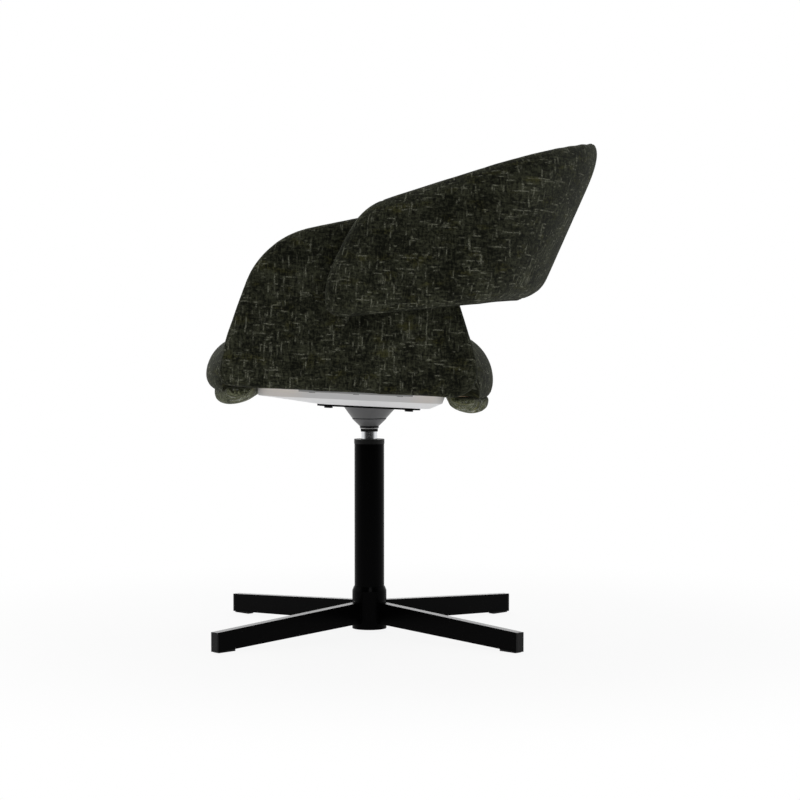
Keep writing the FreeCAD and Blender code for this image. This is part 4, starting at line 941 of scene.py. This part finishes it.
def rollFace(x, where):
    # the showing part of a roll: down its face, round its belly and back to the pan
    shape = underRoll[where]
    inward = 1 if where == "front" else -1
    nose = cushionEnds(x)[0 if where == "front" else 1]
    lift = underRoll["endLift"] * (x / underRoll["halfWidth"]) ** 6
    lip = shape["lip"] - seat["fit"]
    low = lip * lift + shape["low"] * (1 - lift) + underRoll["start"] * (1 - lift)
    face = nose + inward * (shape["face"] + underRoll["start"])
    lowest = nose + inward * shape["lowInset"]
    back = underRoll["panFront"] if where == "front" else underRoll["panRear"]
    back -= inward * underRoll["panGap"]
    backLow = shape["back"] * (1 - lift) + (seat["boardLow"] - 2 * seat["fit"]) * lift
    shoulder = lip - (lip - low) / 2
    corner = (face + (lowest - face) * 0.26, low + (shoulder - low) * 0.23)
    belly = ((lowest + back) / 2, low + (backLow - low) * 0.3)
    # its top edge is tucked up in the cushion
    points = linePoints((face, lip + underRoll["tuck"]), (face, shoulder), 5)
    points += threePointArc((face, shoulder), corner, (lowest, low), 12)[1:]
    points += threePointArc((lowest, low), belly, (back, backLow), 14)[1:]
    return points


def rollLoop(x, where):
    face = rollFace(x, where)
    step = seat["boardFront"] + seat["fit"] if where == "front" else seat["boardRear"] - seat["fit"]
    top = seat["boardLow"] - seat["fit"]
    back = face[-1]
    loop = face + linePoints(back, (back[0], top), 4)[1:]
    loop += linePoints((back[0], top), (step, top), 10)[1:]
    loop += linePoints((step, top), (step, face[0][1]), 4)[1:]
    loop += linePoints((step, face[0][1]), face[0], 5)[1:-1]
    return loop


def makeUnderRoll(where):
    stations = np.linspace(-1, 1, 31) * (underRoll["halfWidth"] - underRoll["start"])
    loops = [[(x, y, z) for y, z in rollLoop(x, where)] for x in stations]
    points = rakedToWorld([p for loop in loops for p in loop])
    piece = formObject(where + "UnderRoll", points, ringFaces(len(loops), len(loops[0])))
    lip = underRoll[where]["lip"]

    def held(raked):
        rim = np.abs(raked[:, 0]) > underRoll["halfWidth"] - underRoll["rimHeld"]
        return raked[:, 2] > lip - underRoll["lipHeld"], rim

    padOut(piece, underRoll, held)
    raked = worldToRaked(meshPoints(piece))
    along, gap = nearestOn(rollFace(0, where), raked[:, 1:])
    normals = rakedNormals(piece)
    atEnd = np.clip(np.abs(normals[:, 0]) * 2 - 0.6, 0, 1)
    u = raked[:, 0] + np.sign(raked[:, 0]) * raked[:, 1] * atEnd
    layWeave(piece, u, along * (1 - atEnd) + raked[:, 2] * atEnd)
    finishPad(piece, where + "_under_roll")


# wings: leaning panels at the sides of the seat

wing = {
    "spread": 0.215, "lean": 5.0, "thickness": 0.031, "seamOut": -0.004, "rimHeld": 0.009,
    "outline": [(-0.2375, 0.0035, 0.018), (0.170, 0.0025, 0.036), (0.1678, 0.052, 0.05),
                (0.078, 0.298, 0.045), (-0.175, 0.234, 0.136), (-0.2245, 0.075, 0.16)],
    "start": -0.0035, "voxel": 0.005, "ease": 12, "pressure": 4.5, "stiff": 12, "cap": 0.0055, "fill": 0.75,
}
leanCos = math.cos(math.radians(wing["lean"]))
leanSin = math.sin(math.radians(wing["lean"]))


def wingToRaked(along, up, out, side):
    x = wing["spread"] + up * leanSin + out * leanCos
    return side * x, along, seat["boardLow"] + up * leanCos - out * leanSin


def rakedToWing(raked, side):
    x = raked[:, 0] * side - wing["spread"]
    z = raked[:, 2] - seat["boardLow"]
    return raked[:, 1], x * leanSin + z * leanCos, x * leanCos - z * leanSin


def makeWing(side, word):
    outline = fillRuns(roundOutline(wing["outline"], wing["start"]), 0.012)
    half = wing["thickness"] / 2
    points = [wingToRaked(y, up, out, side) for out in (-half, half) for y, up in outline]
    piece = formObject("wing" + word, rakedToWorld(points), ringFaces(2, len(outline)))

    def held(raked):
        along, up, out = rakedToWing(raked, side)
        edge = nearestOn(outline + outline[:1], np.stack([along, up], 1))[1]
        return np.zeros(len(raked), bool), edge < wing["rimHeld"]

    padOut(piece, wing, held)
    rim = fillRuns(roundOutline(wing["outline"], 0.0, 12), 0.008)
    path = rakedToWorld([wingToRaked(y, up, wing["seamOut"], side) for y, up in rim])
    sewSeam(piece, "wingSeam" + word, path, seamline, closed=True)
    along, up, out = rakedToWing(worldToRaked(meshPoints(piece)), side)
    normals = rakedNormals(piece)
    wrap = np.clip(half - np.abs(out), 0, half)
    layWeave(piece, along + normals[:, 1] * wrap, up + normals[:, 2] * wrap, out < wing["seamOut"])
    finishPad(piece, "wing_" + word.lower())


# backrest band: a U in plan, its sides leaning with the wings and its back leaning further

band = {
    "thickness": 0.046, "wingThickness": 0.040, "gap": 0.001, "frontRadius": 0.021,
    "front": (-0.0739, 0.1442), "cheek": (-0.0719, 0.2093, 0.16), "brow": (-0.020, 0.3189, 0.09),
    "crest": (0.3655, 0.4490), "tail": (0.267, 0.1945), "cornerRadius": 0.13, "backRadius": 0.48,
    "rimRound": 0.0195, "rimRun": 0.015, "crestRun": 0.058, "rearGrow": 0.0045, "half": 0.55,
    "bow": (0.55, 0.006, 1.2), "overrun": 0.14, "spare": 0.05, "rimHeld": 0.012,
    "crestFrom": 0.05, "crestOver": 0.2, "crestAbove": 0.09, "armEnd": 0.4, "weaveRise": 1.03,
    "start": -0.001, "grow": 0.0027, "voxel": 0.006, "ease": 26, "pressure": 4.0, "stiff": 14, "cap": 0.004,
    "fill": 0.8,
}
bandSlope = (band["crest"][0] - band["tail"][0]) / (band["crest"][1] - band["tail"][1])


def bandReach(height, depth):
    outer = band["wingThickness"] / 2 + band["gap"] + band["thickness"]
    across = wing["spread"] + (height - seat["boardLow"]) * leanSin / leanCos + (outer - depth) / leanCos
    rear = band["tail"][0] + (height - band["tail"][1]) * bandSlope
    rear += band["rearGrow"] * (1 - depth / band["thickness"])
    return across, rear - depth / math.cos(math.atan(bandSlope))


def bandPlan(height, depth, front, counts=(14, 16, 30)):
    # the U line at a height, from the right front round to the left front
    across, rear = bandReach(height, depth)
    corner = band["cornerRadius"] - depth
    back = band["backRadius"] - depth
    cornerX = across - corner
    backY = rear - back
    cornerY = backY + math.sqrt((back - corner) ** 2 - cornerX ** 2)
    toward = math.degrees(math.atan2(cornerY - backY, cornerX))
    half = linePoints((across, front), (across, cornerY), counts[0])
    half += arcPoints((cornerX, cornerY), corner, 0, toward, counts[1])[1:]
    half += arcPoints((0, backY), back, toward, 90, counts[2])[1:]
    return half + [(-x, y) for x, y in reversed(half[:-1])]


def bandTail():
    front, tail = Vector(band["front"]), Vector(band["tail"])
    return tail + (tail - front).normalized() * band["overrun"]


def bandOutline(inset):
    crest = Vector(band["crest"])
    brow = Vector(band["brow"][:2])
    share, rise, radius = band["bow"]
    bow = brow.lerp(crest, share) + Vector((0, rise))
    high = crest + (crest - bow).normalized() * band["overrun"]
    corners = [(*band["front"], band["frontRadius"]), (*bandTail(), 0.02), (*high, 0.02), (*bow, radius),
               band["brow"], band["cheek"]]
    return roundOutline(corners, inset)


def makeBackrest():
    spare = band["spare"]
    front = band["front"][0] - spare
    shrink = band["start"]
    loops = []
    for height in np.linspace(band["front"][1] - spare, band["crest"][1] + spare, 5):
        outside = bandPlan(height, shrink, front)
        inside = bandPlan(height, band["thickness"] - shrink, front)
        loops.append([(x, y, height) for x, y in outside + inside[::-1]])
    shell = formObject("backrestBand", rakedToWorld([p for loop in loops for p in loop]),
                       ringFaces(len(loops), len(loops[0])))
    outline = bandOutline(-band["grow"])
    bar = formObject("bandOutlineBar", rakedToWorld([(x, y, z) for x in (-0.5, 0.5) for y, z in outline]),
                     ringFaces(2, len(outline)))
    trim = shell.modifiers.new("trim", "BOOLEAN")
    trim.operation = "INTERSECT"
    trim.solver = "EXACT"
    trim.object = bar
    bakeModifiers(shell)
    bpy.data.objects.remove(bar)

    def held(raked):
        edge = nearestOn(outline + outline[:1], raked[:, 1:])[1]
        return np.zeros(len(raked), bool), edge < band["rimHeld"]

    middle = band["thickness"] / 2

    def rounded(raked):
        along, out, foot = bandAlong(raked, middle)
        edge = nearestOn(outline + outline[:1], raked[:, 1:])[1]
        # a longer round outside, on the rim of the back's top
        low = nearestOn([band["front"], bandTail()], raked[:, 1:])[1]
        rearward = np.clip((raked[:, 1] - band["crestFrom"]) / band["crestOver"], 0, 1)
        rearward = rearward * (low > band["crestAbove"]) * (out > 0)
        run = band["rimRun"] + (band["crestRun"] - band["rimRun"]) * rearward
        fall = 1 - np.sqrt(1 - (1 - np.clip(edge / run, 0, 1)) ** 2)
        slim = 1 - fall[:, None] * band["rimRound"] / middle
        return np.column_stack([foot + (raked[:, :2] - foot) * slim, raked[:, 2]])

    padOut(shell, band, held, rounded)
    for name, path in bandRims(middle):
        sewSeam(shell, name, rakedToWorld(path), seamline)
    raked = worldToRaked(meshPoints(shell))
    normals = rakedNormals(shell)
    along, out, foot = bandAlong(raked, middle)
    wrap = np.clip(middle - np.abs(out), 0, middle)
    overEnd = np.sign(along) * (np.abs(along) > band["armEnd"]) * -normals[:, 1]
    up = raked[:, 2] * band["weaveRise"]
    layWeave(shell, along + overEnd * wrap, up + normals[:, 2] * wrap, out < 0)
    finishPad(shell, "backrest")


def bandRims(depth):
    # middle of the band's lower and upper rims, from one arm's end to the other
    front = Vector(band["front"])
    tail = Vector(band["tail"])
    brow = Vector(band["brow"][:2])
    crest = Vector(band["crest"])
    rims = []
    for name, first, last in (("bandSeamLow", front, tail), ("bandSeamHigh", brow, crest)):
        slope = (last.y - first.y) / (last.x - first.x)
        path = []
        for x, y in bandPlan(first.y, depth, first.x + 0.03, (30, 24, 60)):
            share = x / bandReach(first.y, depth)[0]
            height = first.y
            for turn in range(6):
                here = matchPlan(height, depth, share, y, first)
                height = first.y + (here[1] - first.x) * slope
            path.append((here[0], here[1], height))
        rims.append((name, path))
    return rims


def matchPlan(height, depth, share, y, first):
    # the point of the U at another height that lies over the same place
    across, rear = bandReach(height, depth)
    flat, flatRear = bandReach(first.y, depth)
    easing = min(1.0, max(0.0, (y - first.x) / (flatRear - first.x)))
    return share * across, y + (rear - flatRear) * easing


def bandAlong(raked, depth):
    # distance round the U from its middle, and out from it, between U lines drawn at even heights
    along = np.zeros(len(raked))
    out = np.zeros(len(raked))
    feet = np.zeros((len(raked), 2))
    step = 0.02
    share = (raked[:, 2] - raked[:, 2].min()) / step
    for level in range(int(share.max()) + 2):
        near = np.nonzero(np.abs(share - level) < 1)[0]
        if not len(near):
            continue
        weight = 1 - np.abs(share[near] - level)
        height = raked[:, 2].min() + level * step
        line = np.array(bandPlan(height, depth, band["front"][0] - 0.03, (12, 12, 20)))
        points = raked[near, :2]
        run, gap = nearestOn(line, points)
        lengths = np.concatenate([[0], np.cumsum(np.linalg.norm(np.diff(line, axis=0), axis=1))])
        foot = np.stack([np.interp(run, lengths, line[:, k]) for k in (0, 1)], 1)
        outside = np.linalg.norm(points, axis=1) > np.linalg.norm(foot, axis=1)
        # upright threads on the arms, turning with the back's own slope toward its middle
        half = lengths[-1] / 2
        arm = np.clip(np.abs(run - half) / half * 1.8, 0, 1)
        arm = arm * arm * (3 - 2 * arm)
        along[near] += weight * (run - half - np.sign(run - half) * (half - band["half"]) * arm)
        out[near] += weight * np.where(outside, gap, -gap)
        feet[near] += weight[:, None] * foot
    return along, out, feet


makeCushion()
makeUnderRoll("front")
makeUnderRoll("rear")
makeWing(1, "Left")
makeWing(-1, "Right")
makeBackrest()
print("padded pieces made")


# weld beads where the legs meet the hub

weld = {"hub": 0.02865, "width": 0.007, "low": 0.0156, "high": 0.051, "bead": 0.0014}


def makeWelds():
    for turn in (-135, -45, 45, 135):
        ring = []
        half, low, high = weld["width"], weld["low"], weld["high"]
        corners = [(-half, low), (half, low), (half, high), (-half, high)]
        for across, height in fillRuns(corners, 0.0025):
            ring.append((math.sqrt(weld["hub"] ** 2 - across ** 2), across, height))
        verts = []
        sides = 6
        middle = (low + high) / 2
        for i, (x, y, z) in enumerate(ring):
            bead = weld["bead"] * (0.85 + 0.25 * math.sin(i * 2.1) * math.cos(i * 0.7))
            outward = Vector((x, y, 0)).normalized()
            spread = Vector((0, y, z - middle)).normalized()
            for k in range(sides):
                angle = 2 * math.pi * k / sides
                swell = outward * math.cos(angle) + spread * math.sin(angle)
                verts.append(Vector((x, y, z)) + bead * swell)
        spin = math.radians(turn)
        placed = [(p.x * math.cos(spin) - p.y * math.sin(spin),
                   seat["axisY"] + p.x * math.sin(spin) + p.y * math.cos(spin), p.z) for p in verts]
        piece = formObject("legWeld%d" % ((turn + 135) // 90 + 1), placed, loopFaces(len(ring), sides))
        for face in piece.data.polygons:
            face.use_smooth = True
        piece.data.materials.append(coatFinish)
        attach(piece, "base")


makeWelds()
print("welds made")

scene.view_settings.view_transform = "Standard"
